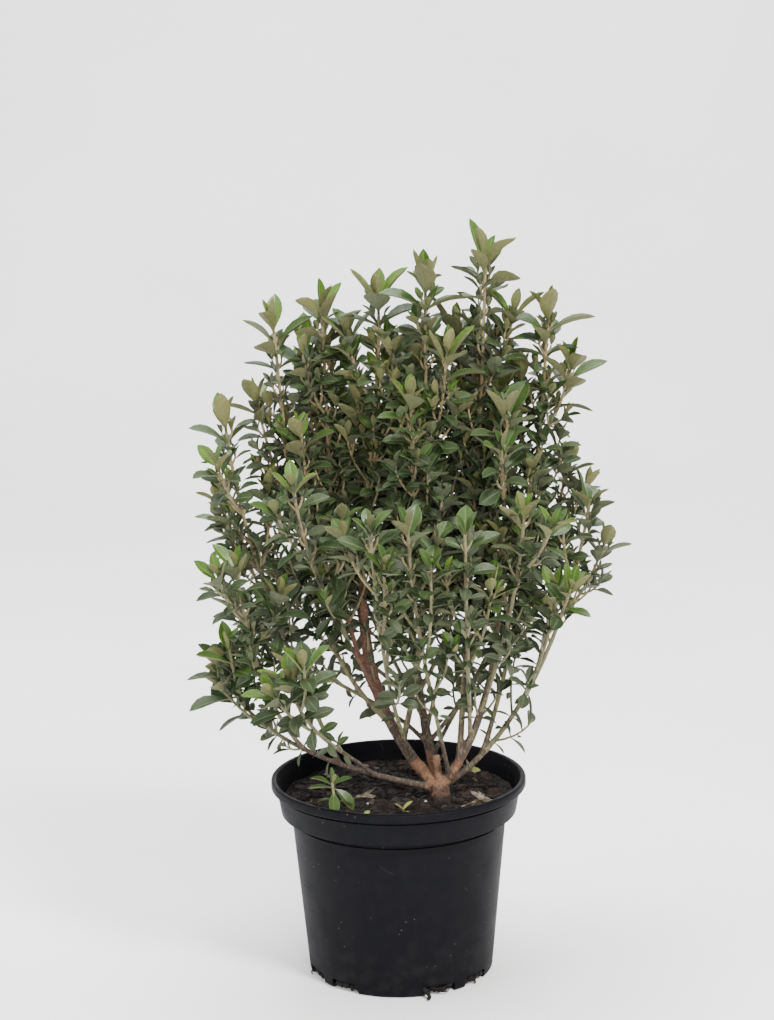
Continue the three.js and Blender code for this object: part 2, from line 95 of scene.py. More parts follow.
def level(degrees: float) -> np.ndarray:
    """Returns the level unit vector at a bearing from +X."""
    angle = math.radians(degrees)
    return np.array([math.cos(angle), math.sin(angle), 0.0])


def lerp(first: float, last: float, share: float) -> float:
    """Returns the value that lies at a share of the way from first to last."""
    return first + (last - first) * share


def ramp(value: float, low: float, high: float) -> float:
    """Returns a smooth step from 0 at low to 1 at high."""
    share = min(1.0, max(0.0, (value - low) / (high - low)))
    return share * share * (3 - 2 * share)


@dataclass(frozen=True)
class Grade:
    """A value that goes smoothly from `first`, at `low`, to `last`, at `high`."""

    low: float
    high: float
    first: float = 0.0
    last: float = 1.0

    def at(self, place: float) -> float:
        """Returns the value at a place."""
        return lerp(self.first, self.last, ramp(place, self.low, self.high))


def spun(vector: np.ndarray, axis: np.ndarray, degrees: float) -> np.ndarray:
    """Turns a vector about a unit axis.

    Args:
        vector: The vector to turn.
        axis: The unit axis.
        degrees: The angle, by the right-hand rule.

    Returns:
        The turned vector.
    """
    angle = math.radians(degrees)
    cosine, sine = math.cos(angle), math.sin(angle)
    across = np.cross(axis, vector)
    return vector * cosine + across * sine + axis * (axis @ vector) * (1 - cosine)


class Seeded:
    """Repeatable numbers from 0 to 1, drawn as the solids draw theirs."""

    SPREAD = 2654435761
    FACTOR = 1664525
    ADDED = 1013904223
    RANGE = 2**32

    def __init__(self, seed: int) -> None:
        """Starts the row of numbers for a seed."""
        self.state = (seed + 1) * self.SPREAD % self.RANGE

    def draw(self) -> float:
        """Returns the next number from 0 to 1."""
        self.state = (self.state * self.FACTOR + self.ADDED) % self.RANGE
        return self.state / self.RANGE

    def varied(self, least: float, more: float) -> float:
        """Returns least, and up to more above it."""
        return least + more * self.draw()

    def around(self, width: float) -> float:
        """Returns a number within half of width on either side of 0."""
        return width * (self.draw() - 0.5)


class Bezier:
    """A Bezier curve through space, in millimetres."""

    NUDGE = 1e-4
    LENGTH_STEPS = 200

    def __init__(self, *controls: np.ndarray) -> None:
        """Keeps the control points, two or more."""
        self.controls = [np.array(point, float) for point in controls]

    def points(self, shares: np.ndarray) -> np.ndarray:
        """Finds several points of the curve.

        Args:
            shares: Fractions of the curve, from 0 to 1.

        Returns:
            One row of x, y and z for each fraction.
        """
        along = np.asarray(shares, float)[:, None]
        rows = [np.broadcast_to(point, (len(along), 3)) for point in self.controls]
        while len(rows) > 1:
            rows = [first + (last - first) * along for first, last in zip(rows, rows[1:])]
        return np.array(rows[0])

    def point(self, share: float) -> np.ndarray:
        """Returns the point at a fraction of the curve."""
        return self.points(np.array([share]))[0]

    def tangent(self, share: float) -> np.ndarray:
        """Returns the unit direction at a fraction of the curve."""
        ends = self.points(np.array([max(share - self.NUDGE, 0.0), min(share + self.NUDGE, 1.0)]))
        return unit(ends[1] - ends[0])

    def samples(self, start: float, count: int) -> np.ndarray:
        """Returns count + 1 points, evenly spaced by fraction from start to the end."""
        return self.points(start + (1 - start) * np.arange(count + 1) / count)

    def length(self) -> float:
        """Returns the curve's length."""
        return float(np.linalg.norm(np.diff(self.samples(0, self.LENGTH_STEPS), axis=0), axis=1).sum())


def spot_tree(spots: np.ndarray) -> KDTree:
    """Makes a search tree of spots.

    Args:
        spots: One row of x, y and z for each spot.

    Returns:
        The tree, which knows each spot by its row's number.
    """
    tree = KDTree(len(spots))
    for index, spot in enumerate(spots):
        tree.insert(spot, index)
    tree.balance()
    return tree


# The bush's sizes, in millimetres and degrees

SOIL_TOP = 118.5
GAP = 0.3  # between a solid and the next one on the same line
GOLDEN_ANGLE = 137.5


@dataclass(frozen=True)
class TrunkSizes:
    """The short trunk: its line, its flare and the old stub above its fork.

    `flare` is the trunk's radius at the soil, a little less than its solid's, as soil is heaped round it.
    """

    foot: tuple[float, float] = (27, -23)
    bend: tuple[float, float, float] = (27.4, -22.5, 126)
    fork: tuple[float, float, float] = (25, -20, 132)
    flare: float = 7.4
    waist: float = 6.4
    flare_power: float = 2.4
    lobes: int = 5
    lobe_depth: float = 0.13
    stub_at: float = 0.6
    stub_tip: tuple[float, float, float] = (24.5, -19, 149)
    stub_girths: tuple[float, float] = (3.0, 2.4)

    def curve(self) -> Bezier:
        """Returns the trunk's middle line."""
        return Bezier((*self.foot, SOIL_TOP + GAP), self.bend, self.fork)

    def radius(self, share: float, angle: float) -> float:
        """Returns the trunk's radius at a fraction of its line and an angle round it.

        Args:
            share: The fraction of the trunk's line.
            angle: The angle in radians.

        Returns:
            The radius.
        """
        widening = (1 - share) ** self.flare_power
        lobe = 1 + self.lobe_depth * widening * math.cos(self.lobes * angle)
        return lerp(self.waist, self.flare, widening) * lobe


@dataclass(frozen=True)
class CaneRow:
    """One cane: a bough that goes on as the stem of its foliage.

    `at` is the share of the parent's bough at which it leaves, `rise` its first angle above level, `leafy`
    the height at which its foliage starts, `bearing` the first side twig's direction, `bark_top` the height
    up to which it has red-brown bark, if any, `brown_top` the height up to which it is grey-brown, `stout`
    what the bark adds to its radius about its middle, and `sway` how far its leafy part is moved in x and y,
    so that an older stem behind it shows.
    """

    name: str
    tip: tuple[float, float, float]
    rise: float
    girth: float
    leafy: float
    bearing: float
    twigs: int = 3
    parent: str = ""
    at: float = 0.0
    bow: float = 1.0
    bark_top: float = 0.0
    brown_top: float = 166.0
    stout: float = 0.0
    sway: tuple[float, float] = (0.0, 0.0)


CANES = (
    CaneRow("centre_left", (-8, 0, 443), 36, 4.3, 228, 195, bow=1.3, bark_top=288, brown_top=176,
            stout=0.85),
    CaneRow("right", (72, -26, 372), 50, 3.5, 212, 250, brown_top=196),
    CaneRow("low_right", (125, -4, 310), 28, 2.7, 178, 230, brown_top=150),
    CaneRow("low_left", (-113, -26, 214), 12, 2.9, 162, 300, brown_top=190),
    CaneRow("back", (4, 50, 396), 42, 3.8, 226, 60, brown_top=205),
    CaneRow("top", (60, 4, 467), 84, 2.6, 226, 350, 4, "right", 0.26),
    CaneRow("top_centre", (22, -16, 456), 74, 2.5, 206, 180, 4, "centre_left", 0.3),
    CaneRow("top_left", (-44, 10, 434), 58, 2.4, 220, 215, 3, "centre_left", 0.5, bark_top=250),
    CaneRow("far_left", (-75, 8, 426), 40, 2.2, 216, 20, 3, "centre_left", 0.42),
    CaneRow("top_right", (99, 0, 430), 70, 2.2, 206, 350, 3, "low_right", 0.5),
    CaneRow("left", (-106, -8, 365), 66, 2.1, 196, 250, 3, "low_left", 0.66),
    CaneRow("left_front", (-99, -50, 282), 46, 1.9, 186, 220, 3, "low_left", 0.88),
    CaneRow("front_left", (-62, -58, 334), 56, 2.0, 200, 200, 3, "centre_left", 0.6, bark_top=228),
    CaneRow("front_centre_left", (-28, -88, 312), 50, 2.0, 188, 150, 3, "centre_left", 0.2, sway=(13, 2)),
    CaneRow("front_centre", (8, -80, 310), 66, 2.0, 196, 20, 3, "right", 0.12),
    CaneRow("front_centre_right", (43, -76, 306), 60, 2.0, 190, 80, 3, "right", 0.44),
    CaneRow("front_right", (80, -64, 316), 62, 2.0, 200, 330, 3, "right", 0.66),
    CaneRow("right_low", (101, -42, 262), 52, 1.9, 192, 300, 2, "low_right", 0.8),
    CaneRow("left_low", (-66, -80, 216), 42, 1.8, 166, 300, 3, "low_left", 0.45),
)


@dataclass(frozen=True)
class RearRow:
    """A row of canes on an arc behind the trunk, from one bearing to another.

    `at` is the share of the parent's bough at which the first cane leaves, `at_step` how much further up each
    next one does, `turn` the turn of the first side twig from cane to cane, `widening` what stretches the arc
    in x, `behind` how far it is set back, and `unevenness` how much the tips' heights go up and down.
    """

    name: str
    canes: int
    bearings: tuple[float, float]
    reach: float
    height: float
    leafy: float
    twigs: int
    at: float
    at_step: float = 0.07
    rise: float = 48.0
    girth: float = 2.0
    turn: float = 54.0
    widening: float = 1.1
    behind: float = 8.0
    unevenness: float = 12.0

    def rows(self) -> list[CaneRow]:
        """Returns the row's canes, all of them from the bough that leans back.

        Returns:
            One row for each cane.
        """
        made = []
        for k in range(self.canes):
            out = level(lerp(*self.bearings, k / (self.canes - 1))) * self.reach
            height = self.height + self.unevenness * math.cos(3 * k)
            tip = (self.widening * out[0], out[1] + self.behind, height)
            made.append(CaneRow(f"{self.name}_{k + 1}", tip, self.rise, self.girth, self.leafy, self.turn * k,
                                self.twigs, "back", self.at + self.at_step * k))
        return made


REAR_ROWS = (
    RearRow("rear_high", 3, (35, 145), 62, 396, 232, 3, 0.62),
    RearRow("rear_wide", 4, (8, 172), 104, 322, 208, 2, 0.3),
    RearRow("rear_low", 2, (44, 140), 104, 240, 186, 2, 0.2),
)


class Rank(Enum):
    """How a shoot stands in the bush's order of branching."""

    STEM = "stem"
    SIDE = "side twig"
    SHORT = "short shoot"


@dataclass
class Shoot:
    """A leafy limb: its curve, the fraction where its leaves start, and its radii at both ends."""

    curve: Bezier
    start: float
    rank: Rank
    girths: tuple[float, float]

    SAMPLES = 121

    def __post_init__(self) -> None:
        """Measures the curve, so that places can be found by their distance below the tip."""
        self.shares = np.linspace(0, 1, self.SAMPLES)
        steps = np.linalg.norm(np.diff(self.curve.points(self.shares), axis=0), axis=1)
        self.below = np.concatenate([np.cumsum(steps[::-1])[::-1], [0.0]])
        self.leafy_length = float(np.interp(self.start, self.shares, self.below))

    def share_below(self, down: float) -> float:
        """Returns the fraction of the curve at a distance below the tip."""
        return float(np.interp(down, self.below[::-1], self.shares[::-1]))

    def radius(self, share: float) -> float:
        """Returns the radius at a fraction of the curve."""
        return lerp(*self.girths, share)


@dataclass
class Cane:
    """A cane as it is laid out: its line, where its foliage starts and its own side twigs."""

    row: CaneRow
    curve: Bezier
    leafy: float
    spots: np.ndarray
    side_twigs: list[Bezier] = field(default_factory=list)

    TIP_GIRTH = 1.0
    TAPER = 0.7

    def radius(self, share: float) -> float:
        """Returns the cane's radius at a fraction of its line."""
        return lerp(self.row.girth, self.TIP_GIRTH, share**self.TAPER)


@dataclass(frozen=True)
class LeafPair:
    """A place on a shoot where a pair of leaves stands.

    `number` counts from the tip. `down` is its distance below the tip, `share` its fraction of the curve and
    `turn` the angle round the shoot at which the pair stands.
    """

    number: int
    down: float
    share: float
    turn: float


class Age(Enum):
    """The age of a leaf, which gives it its colour."""

    TIP = "tip"
    YOUNG = "young"
    MATURE = "mature"
    OLD = "old"
    FADING = "fading"


@dataclass(frozen=True)
class Leaf:
    """A leaf's place: its root, the way it points, its upper side, and how it looks."""

    root: np.ndarray
    along: np.ndarray
    upper: np.ndarray
    length: float
    shape: int
    tone: float
    age: Age


class LeafSpace:
    """Remembers where limbs and leaves are, so that a new leaf keeps clear of them."""

    CELL = 6.0

    def __init__(self, spots: np.ndarray, girths: np.ndarray) -> None:
        """Keeps the limbs.

        Args:
            spots: Points on the limbs' middle lines.
            girths: The limb's radius at each point.
        """
        self.limbs = spot_tree(spots)
        self.girths = girths
        self.widest = float(girths.max())
        self.cells: dict[tuple[int, int, int], list[np.ndarray]] = {}

    def cell(self, spot: np.ndarray) -> tuple[int, int, int]:
        """Returns the cell that a spot lies in."""
        return tuple(int(value) for value in np.floor(spot / self.CELL))

    def meets_limb(self, spot: np.ndarray, clear: float) -> bool:
        """Returns whether a spot is within a clearance of any limb's surface."""
        near = self.limbs.find_range(spot, self.widest + clear)
        return any(distance < self.girths[index] + clear for _, index, distance in near)

    def meets_leaf(self, spot: np.ndarray, clear: float) -> bool:
        """Returns whether a spot is within a clearance of another leaf's spots.

        Args:
            spot: The spot.
            clear: The clearance, which is less than a cell.

        Returns:
            True if another leaf is too near.
        """
        middle = self.cell(spot)
        for steps in product((-1, 0, 1), repeat=3):
            near = tuple(place + step for place, step in zip(middle, steps))
            if any(np.linalg.norm(other - spot) < clear for other in self.cells.get(near, ())):
                return True
        return False

    def claim(self, spots: list[np.ndarray]) -> None:
        """Keeps a new leaf's spots."""
        for spot in spots:
            self.cells.setdefault(self.cell(spot), []).append(spot)


class Bush:
    """The bush's growth: canes, side twigs, short shoots and leaves, all by seeded rules."""

    # Where the rows of numbers of each kind start
    PAIR_SEED, SHORT_SEED, LEAF_SEED = 3000, 5000, 9000

    # Canes, by shares of the trunk's line and of the cane's length
    START = 0.62
    SET_OUT = 0.3
    STRAIGHTEN = 0.36
    LEAN = 0.35
    STEM_GIRTH = 1.6
    STEM_STEP = 66.0

    # Side twigs
    TWIG_SPAN = (0.12, 0.78)
    TWIG_OUT = 18.0
    TWIG_SHARE = 0.62
    TWIG_LEAST = 34.0
    TWIG_OUT_VARIED, TWIG_VARIED = (0.85, 0.4), (0.85, 0.35)
    TWIG_LOOSE_SHARE, TWIG_LOOSE_TURN = 0.08, 24.0
    TWIG_BEND = (0.75, 0.35)
    TWIG_GIRTHS = (1.15, 0.85)
    TWIG_BARE = 0.12
    TWIG_CLEAR = 10.0
    TWIG_SPOTS = (0.25, 14)
    CANE_BARE = 0.22
    LOWEST_LEAF = 146.0

    # Pairs of leaves: the steps down from the tip, the turn from pair to pair and the bare end of a shoot
    NODE_STEPS = {
        Rank.STEM: (1.2, 3.2, 5.4, 7.4, 8.4, 8.8, 9.0),
        Rank.SIDE: (1.0, 2.8, 4.6, 6.4, 7.4, 7.8),
        Rank.SHORT: (0.8, 2.2, 3.6, 4.6, 5.2),
    }
    PAIR_TURN, PAIR_LOOSE = 90.0, 14.0
    STEP_VARIED = (0.82, 0.36)
    SHOOT_END = 3.0

    # Short shoots, which fill more of the axils and grow longer further up
    SHORT_FROM_PAIR = 2
    SHORT_REACH = {Rank.STEM: Grade(20, 190, 10, 46), Rank.SIDE: Grade(8, 60, 8, 25)}
    SHORT_FILL = Grade(165, 340, 0.36, 0.78)
    SHORT_VARIED = (0.5, 0.7)
    SHORT_SET_OUT = (0.72, 0.7)
    SHORT_LOOSE = 30.0
    SHORT_UP = 0.6
    SHORT_BEND, SHORT_CONTROL = 0.62, 0.6
    SHORT_TRIES = (1.0, 0.62)
    SHORT_BARE = 0.15
    SHORT_GIRTHS = (0.85, 0.6)
    SHORT_CLEAR = 4.4
    SHORT_MARGIN = 11.0

    # Leaves: how far each pair spreads, how long it is, and how its blades turn outward and droop
    PAIR_SPREADS = (17, 33, 46, 57, 66, 74, 82, 88)
    PAIR_LENGTHS = (0.68, 0.94, 1.0, 0.93, 0.85, 0.8)
    LEAF_LENGTHS = {Rank.STEM: 27.5, Rank.SIDE: 25.5}
    SHORT_LEAF = (10.0, 0.38, 18.0)
    OUTWARD = Grade(0, 5, 0.0, 0.3)
    DROOP = Grade(60, 160, 0.0, 6.0)
    OLDER = Grade(14, 70)
    SHORT_LEAST, LONG_LEAST = 0.88, 0.58
    SHORT_TALL = Grade(330, 430, 1.0, 1.22)
    LONG_LOW = Grade(230, 300, 0.96, 0.83)
    LONG_TALL = Grade(315, 410, 1.0, 1.35)
    LEAF_VARIED = (0.84, 0.3)
    LOOSE_TURN, LOOSE_SPREAD, LOOSE_ROLL = 26.0, 22.0, 46.0
    MIDDLE = np.array([8.0, 4.0, 0.0])
    SMALL_LEAF = 13.5

    # Ages of leaves by height: the shares of young and old ones
    SHORT_YOUNG = Grade(250, 440, 0.07, 0.6)
    SHORT_OLD = Grade(170, 330, 0.4, 0.85)
    LONG_YOUNG = Grade(250, 400, 0.2, 0.6)
    LONG_OLD = Grade(170, 360, 0.75, 0.12)
    TIP_SHARES = {Rank.SHORT: 0.1, Rank.SIDE: 0.75, Rank.STEM: 0.75}
    FADING_BELOW = 290.0
    FADING_SHARE = 0.012
    FINE_SHAPES = {
        Age.TIP: (0, 1, 0, 5),
        Age.YOUNG: (1, 2, 3, 4),
        Age.MATURE: (2, 3, 4, 5),
        Age.OLD: (2, 4, 5, 3),
        Age.FADING: (2, 5, 2, 5),
    }

    # Where leaves fit: lengths to try, what is shed, and clearances from limbs and leaves
    LEAF_TRIES = (1.0, 0.82, 0.66)
    SHED = 0.03
    STEM_SHED = Grade(110, 270, 0.02, 0.27)
    BLADE_SPOTS = (0.46, 0.72, 1.0)
    BLADE_WIDEST, BLADE_HALF = 0.55, 0.2
    LIMB_STEP = 2.5
    LIMB_CLEAR = 0.45
    LEAF_CLEAR = 1.9
    FULL_CLEAR_LENGTH = 20.0
    LEAF_MARGIN = -1.5

    # What stays bare: above the rim, the open foot, the view of the old stem, and the sky low on the right
    REACH = tuple(np.array(corner) / MM for corner in CAD_BOX)
    LOWEST_GROWTH = 136.0
    OPEN_WEST = -45.0
    OPEN_SHARE = 0.25
    OPEN_FOOT = Grade(180, 240, 1.0, 0.0)
    VIEWPOINT = np.array([0.0, -1490.5, 600.0])
    OLD_STEM_FRONT = -2.0
    OLD_STEM_HEIGHTS = (186.0, 266.0)
    OLD_STEM_CLEAR = 6.4
    SKY_HEIGHTS = (218.0, 252.0)
    SKY_EDGE = (90.0, 112.0)

    def __init__(self, trunk: TrunkSizes) -> None:
        """Grows the whole bush from its trunk.

        Args:
            trunk: The trunk's sizes.
        """
        self.trunk = trunk
        self.canes = self.lay_out()
        self.old_stem = self.canes[0].curve.samples(0, 100)
        self.grow_side_twigs()
        self.shoots = self.leafy_shoots()
        self.shoots += self.short_shoots()
        self.leaves = self.grow_leaves()

    def solids(self, kind: str) -> list[str]:
        """Returns the names of the solids of one kind, bough or foliage, one for each cane."""
        return [f"{kind}_{cane.row.name}" for cane in self.canes]

    def cane_curve(self, start: np.ndarray, row: CaneRow) -> Bezier:
        """Draws a cane's line: it sets out towards its tip at its rise and straightens up at the end.

        Args:
            start: Where the cane leaves the trunk or its parent.
            row: The cane's sizes.

        Returns:
            The cane's line.
        """
        tip = np.array(row.tip, float)
        away = (tip - start) * [1, 1, 0]
        out = float(np.linalg.norm(away))
        away = away / out
        length = float(np.linalg.norm(tip - start))
        rise = math.radians(row.rise)
        set_out = away * math.cos(rise) + UP * math.sin(rise)
        lean = unit(away * (self.LEAN * out / length) + UP)
        first = start + set_out * (self.SET_OUT * length * row.bow)
        sway = np.array([*row.sway, 0.0])
        return Bezier(start, first, tip + sway - lean * (self.STRAIGHTEN * length), tip + sway)

    @staticmethod
    def share_at(curve: Bezier, height: float) -> float:
        """Returns the fraction of a rising curve at which it passes a height.

        Args:
            curve: The curve.
            height: The height above the ground.

        Returns:
            The fraction.
        """
        low, high = 0.0, 1.0
        for _ in range(30):
            middle = (low + high) / 2
            if curve.point(middle)[2] < height:
                low = middle
            else:
                high = middle
        return (low + high) / 2

    def lay_out(self) -> list[Cane]:
        """Returns all the canes, in the order of the table and the rear rows.

        Returns:
            The canes.
        """
        canes: dict[str, Cane] = {}
        rear = [row for rear_row in REAR_ROWS for row in rear_row.rows()]
        for row in (*CANES, *rear):
            parent = canes.get(row.parent)
            start = self.trunk.curve().point(self.START)
            if parent:
                start = parent.curve.point(row.at * parent.leafy)
            curve = self.cane_curve(start, row)
            leafy = self.share_at(curve, row.leafy)
            canes[row.name] = Cane(row, curve, leafy, curve.samples(leafy, 40))
        return list(canes.values())

    def chord_point(self, cane: Cane, share: float) -> np.ndarray:
        """Returns the point on the straight line between two rings of a stem's solid.

        Args:
            cane: The cane.
            share: The fraction of its line.

        Returns:
            The point.
        """
        length = cane.curve.length()
        start = cane.leafy + GAP / length
        steps = max(3, int(length * (1 - cane.leafy) / self.STEM_STEP + 0.5))
        place = min(steps * (share - start) / (1 - start), steps - 1e-6)
        ring = start + (1 - start) * math.floor(place) / steps
        first = cane.curve.point(ring)
        last = cane.curve.point(ring + (1 - start) / steps)
        return lerp(first, last, place % 1)

    def grow_side_twigs(self) -> None:
        """Gives each cane its side twigs. A twig that comes near another mass is skipped."""
        for index, cane in enumerate(self.canes):
            random = Seeded(index)
            others = [other for other in self.canes if other is not cane]
            stem_length = np.linalg.norm(cane.curve.point(1) - cane.curve.point(cane.leafy))
            for k in range(cane.row.twigs):
                share = lerp(*self.TWIG_SPAN, (k + 0.5) / cane.row.twigs)
                share += random.around(self.TWIG_LOOSE_SHARE)
                place = cane.leafy + (1 - cane.leafy) * share
                bearing = cane.row.bearing + GOLDEN_ANGLE * (cane.row.twigs - 1 - k)
                bearing += random.around(self.TWIG_LOOSE_TURN)
                out = level(bearing) * self.TWIG_OUT * random.varied(*self.TWIG_OUT_VARIED)
                wanted = stem_length * (1 - share) * self.TWIG_SHARE * random.varied(*self.TWIG_VARIED)
                length = max(self.TWIG_LEAST, wanted)
                start = self.chord_point(cane, place)
                rise = unit(cane.curve.tangent(place) + UP)
                aside, along = self.TWIG_BEND
                bend = start + aside * out + rise * (along * length)
                curve = Bezier(start, bend, start + out + rise * length)
                spots = curve.samples(*self.TWIG_SPOTS)
                gaps = (np.linalg.norm(spots[:, None] - other.spots[None], axis=2).min() for other in others)
                if min(gaps) < self.TWIG_CLEAR:
                    continue
                cane.spots = np.concatenate([cane.spots, spots])
                curve.controls[0] = cane.curve.point(place)
                cane.side_twigs.append(curve)

    def leafy_shoots(self) -> list[Shoot]:
        """Returns the canes and their side twigs as shoots that carry leaves.

        Returns:
            The shoots, each cane's own first.
        """
        shoots = []
        for cane in self.canes:
            lowest = max(self.share_at(cane.curve, self.LOWEST_LEAF), self.CANE_BARE)
            girths = (max(cane.radius(cane.leafy), self.STEM_GIRTH), self.TWIG_GIRTHS[0])
            shoots.append(Shoot(cane.curve, lowest, Rank.STEM, girths))
            shoots += [Shoot(twig, self.TWIG_BARE, Rank.SIDE, self.TWIG_GIRTHS) for twig in cane.side_twigs]
        return shoots

    def leaf_pairs(self, seed: int, shoot: Shoot) -> list[LeafPair]:
        """Places a shoot's pairs of leaves, from the tip down, each turned a quarter from the last.

        Args:
            seed: The shoot's number.
            shoot: The shoot that carries them.

        Returns:
            The pairs, the tip's first.
        """
        random = Seeded(self.PAIR_SEED + seed)
        steps = self.NODE_STEPS[shoot.rank]
        pairs = []
        down = steps[0]
        turn = 360 * random.draw()
        while down < shoot.leafy_length - self.SHOOT_END:
            number = len(pairs)
            pairs.append(LeafPair(number, down, shoot.share_below(down), turn))
            turn += self.PAIR_TURN + random.around(self.PAIR_LOOSE)
            down += steps[min(number + 1, len(steps) - 1)] * random.varied(*self.STEP_VARIED)
        return pairs

    @staticmethod
    def outward(along: np.ndarray, turn: float) -> np.ndarray:
        """Returns the unit vector square to a limb at an angle round it."""
        normal = unit(np.cross(along, [0.0, 1.0, 0.0]))
        return spun(normal, along, turn)

    def short_shoots(self) -> list[Shoot]:
        """Grows the short shoots in the axils of the stems and side twigs.

        Returns:
            The shoots that keep clear of every other limb and inside the bush's reach.
        """
        samples = 60
        limbs = spot_tree(np.concatenate([shoot.curve.samples(0, samples) for shoot in self.shoots]))
        ends: list[np.ndarray] = []
        made = []
        for number, shoot in enumerate(self.shoots):
            random = Seeded(self.SHORT_SEED + number)
            for pair in self.leaf_pairs(number, shoot)[self.SHORT_FROM_PAIR:]:
                for side in (0, 180):
                    root, out, reach = self.axil(shoot, pair, side, random)
                    for share in self.SHORT_TRIES if reach else ():
                        curve = self.short_curve(root, out, share * reach, shoot.curve.tangent(pair.share))
                        end = curve.controls[-1]
                        near = limbs.find_range(end, self.SHORT_CLEAR)
                        near += limbs.find_range((root + end) / 2 + out, 0.5 * self.SHORT_CLEAR)
                        crowded = any(index // (samples + 1) != number for _, index, _ in near)
                        crowded |= any(np.linalg.norm(end - other) < self.SHORT_CLEAR for other in ends)
                        crowded |= self.hides_old_stem(end) or self.in_sky(end)
                        if not crowded and self.in_reach(end, self.SHORT_MARGIN):
                            ends.append(end)
                            made.append(Shoot(curve, self.SHORT_BARE, Rank.SHORT, self.SHORT_GIRTHS))
                            break
        return made

    def axil(self, shoot: Shoot, pair: LeafPair, side: float,
             random: Seeded) -> tuple[np.ndarray, np.ndarray, float]:
        """Works out what may grow in the axil of one leaf.

        Args:
            shoot: The shoot that carries the leaf.
            pair: The place of its pair.
            side: 0 or 180 degrees.
            random: The shoot's row of numbers.

        Returns:
            The axil's place, the way out from the shoot, and the length that is wanted, or 0 for none.
        """
        root = shoot.curve.point(pair.share)
        reach = self.SHORT_REACH[shoot.rank].at(pair.down) * random.varied(*self.SHORT_VARIED)
        wanted = random.draw() < self.SHORT_FILL.at(root[2])
        wanted &= not self.is_open(root, random.draw())
        turn = pair.turn + side + random.around(self.SHORT_LOOSE)
        out = self.outward(shoot.curve.tangent(pair.share), turn)
        return root, out, reach if wanted else 0.0

    def short_curve(self, root: np.ndarray, out: np.ndarray, length: float, along: np.ndarray) -> Bezier:
        """Draws a short shoot, which sets out from its axil and turns up.

        Args:
            root: The axil's place.
            out: The way out from the shoot.
            length: The short shoot's length.
            along: The way that the shoot which carries it goes.

        Returns:
            Its line.
        """
        ahead, aside = self.SHORT_SET_OUT
        first = unit(along * ahead + out * aside)
        turned_up = unit(along + UP * self.SHORT_UP)
        bend = self.SHORT_BEND
        end = root + first * (bend * length) + turned_up * ((1 - bend) * length)
        return Bezier(root, root + first * (self.SHORT_CONTROL * length), end)

    def in_reach(self, spot: np.ndarray, margin: float) -> bool:
        """Returns whether a spot lies inside the solids' box by a margin, and above the pot's rim.

        Args:
            spot: The spot.
            margin: How far inside the box it must be.

        Returns:
            True if it is inside.
        """
        low, high = self.REACH
        inside = bool(np.all(spot > low + margin) and np.all(spot < high - margin))
        return inside and spot[2] > self.LOWEST_GROWTH

    def is_open(self, spot: np.ndarray, chance: float) -> bool:
        """Returns whether a spot of the bush's open foot stays bare, by its own number from 0 to 1."""
        return spot[0] >= self.OPEN_WEST and chance < self.OPEN_SHARE * self.OPEN_FOOT.at(spot[2])

    def hides_old_stem(self, spot: np.ndarray) -> bool:
        """Returns whether a spot hides the old stem on the left from the viewpoint.

        Args:
            spot: The spot.

        Returns:
            True if it hides the stem.
        """
        if spot[1] > self.OLD_STEM_FRONT:
            return False
        away = (self.old_stem[-1, 1] - self.VIEWPOINT[1]) / (spot[1] - self.VIEWPOINT[1])
        behind = self.VIEWPOINT + (spot - self.VIEWPOINT) * away
        low, high = self.OLD_STEM_HEIGHTS
        middle = np.interp(behind[2], self.old_stem[:, 2], self.old_stem[:, 0])
        return bool(low < behind[2] < high and abs(behind[0] - middle) < self.OLD_STEM_CLEAR)

    def in_sky(self, spot: np.ndarray) -> bool:
        """Returns whether a spot lies outside the lowest stem on the right, where the sky shows.

        Args:
            spot: The spot.

        Returns:
            True if it lies there.
        """
        low, high = self.SKY_HEIGHTS
        share = (max(spot[2], low) - low) / (high - low)
        return spot[2] < high and spot[0] > lerp(*self.SKY_EDGE, share)

    def leaf_age(self, shoot: Shoot, pair: LeafPair, height: float, spray: float, chance: float) -> Age:
        """Chooses the age of a pair's leaves.

        Args:
            shoot: The shoot that carries them.
            pair: Their place on it.
            height: Their height above the ground.
            spray: The shoot's own number from 0 to 1, which keeps a spray's leaves alike.
            chance: The leaf's own number from 0 to 1.

        Returns:
            The leaf's age.
        """
        at_tip, near_tip, short = pair.number < 2, pair.number < 4, shoot.rank is Rank.SHORT
        if height < self.FADING_BELOW and not near_tip and chance < self.FADING_SHARE:
            return Age.FADING
        if at_tip and (not short or spray < self.SHORT_YOUNG.at(height)):
            return Age.TIP if spray < self.TIP_SHARES[shoot.rank] else Age.YOUNG
        if short:
            return Age.OLD if spray > self.SHORT_OLD.at(height) else Age.MATURE
        if near_tip:
            return Age.YOUNG if spray < self.LONG_YOUNG.at(height) else Age.MATURE
        return Age.OLD if chance < self.LONG_OLD.at(height) else Age.MATURE

    def leaf_length(self, shoot: Shoot, pair: LeafPair) -> float:
        """Returns the length of a pair's leaves before it is varied.

        Args:
            shoot: The shoot that carries them.
            pair: Their place on it.

        Returns:
            The length.
        """
        share = self.PAIR_LENGTHS[min(pair.number, len(self.PAIR_LENGTHS) - 1)]
        tip = shoot.curve.point(1)[2]
        if shoot.rank is Rank.SHORT:
            first, more, most = self.SHORT_LEAF
            length = min(most, first + more * shoot.leafy_length)
            share *= self.SHORT_TALL.at(tip)
            least = self.SHORT_LEAST
        else:
            length = self.LEAF_LENGTHS[shoot.rank]
            share *= self.LONG_LOW.at(tip) * self.LONG_TALL.at(tip)
            least = self.LONG_LEAST
        return length * share * lerp(1.0, least, self.OLDER.at(pair.down))

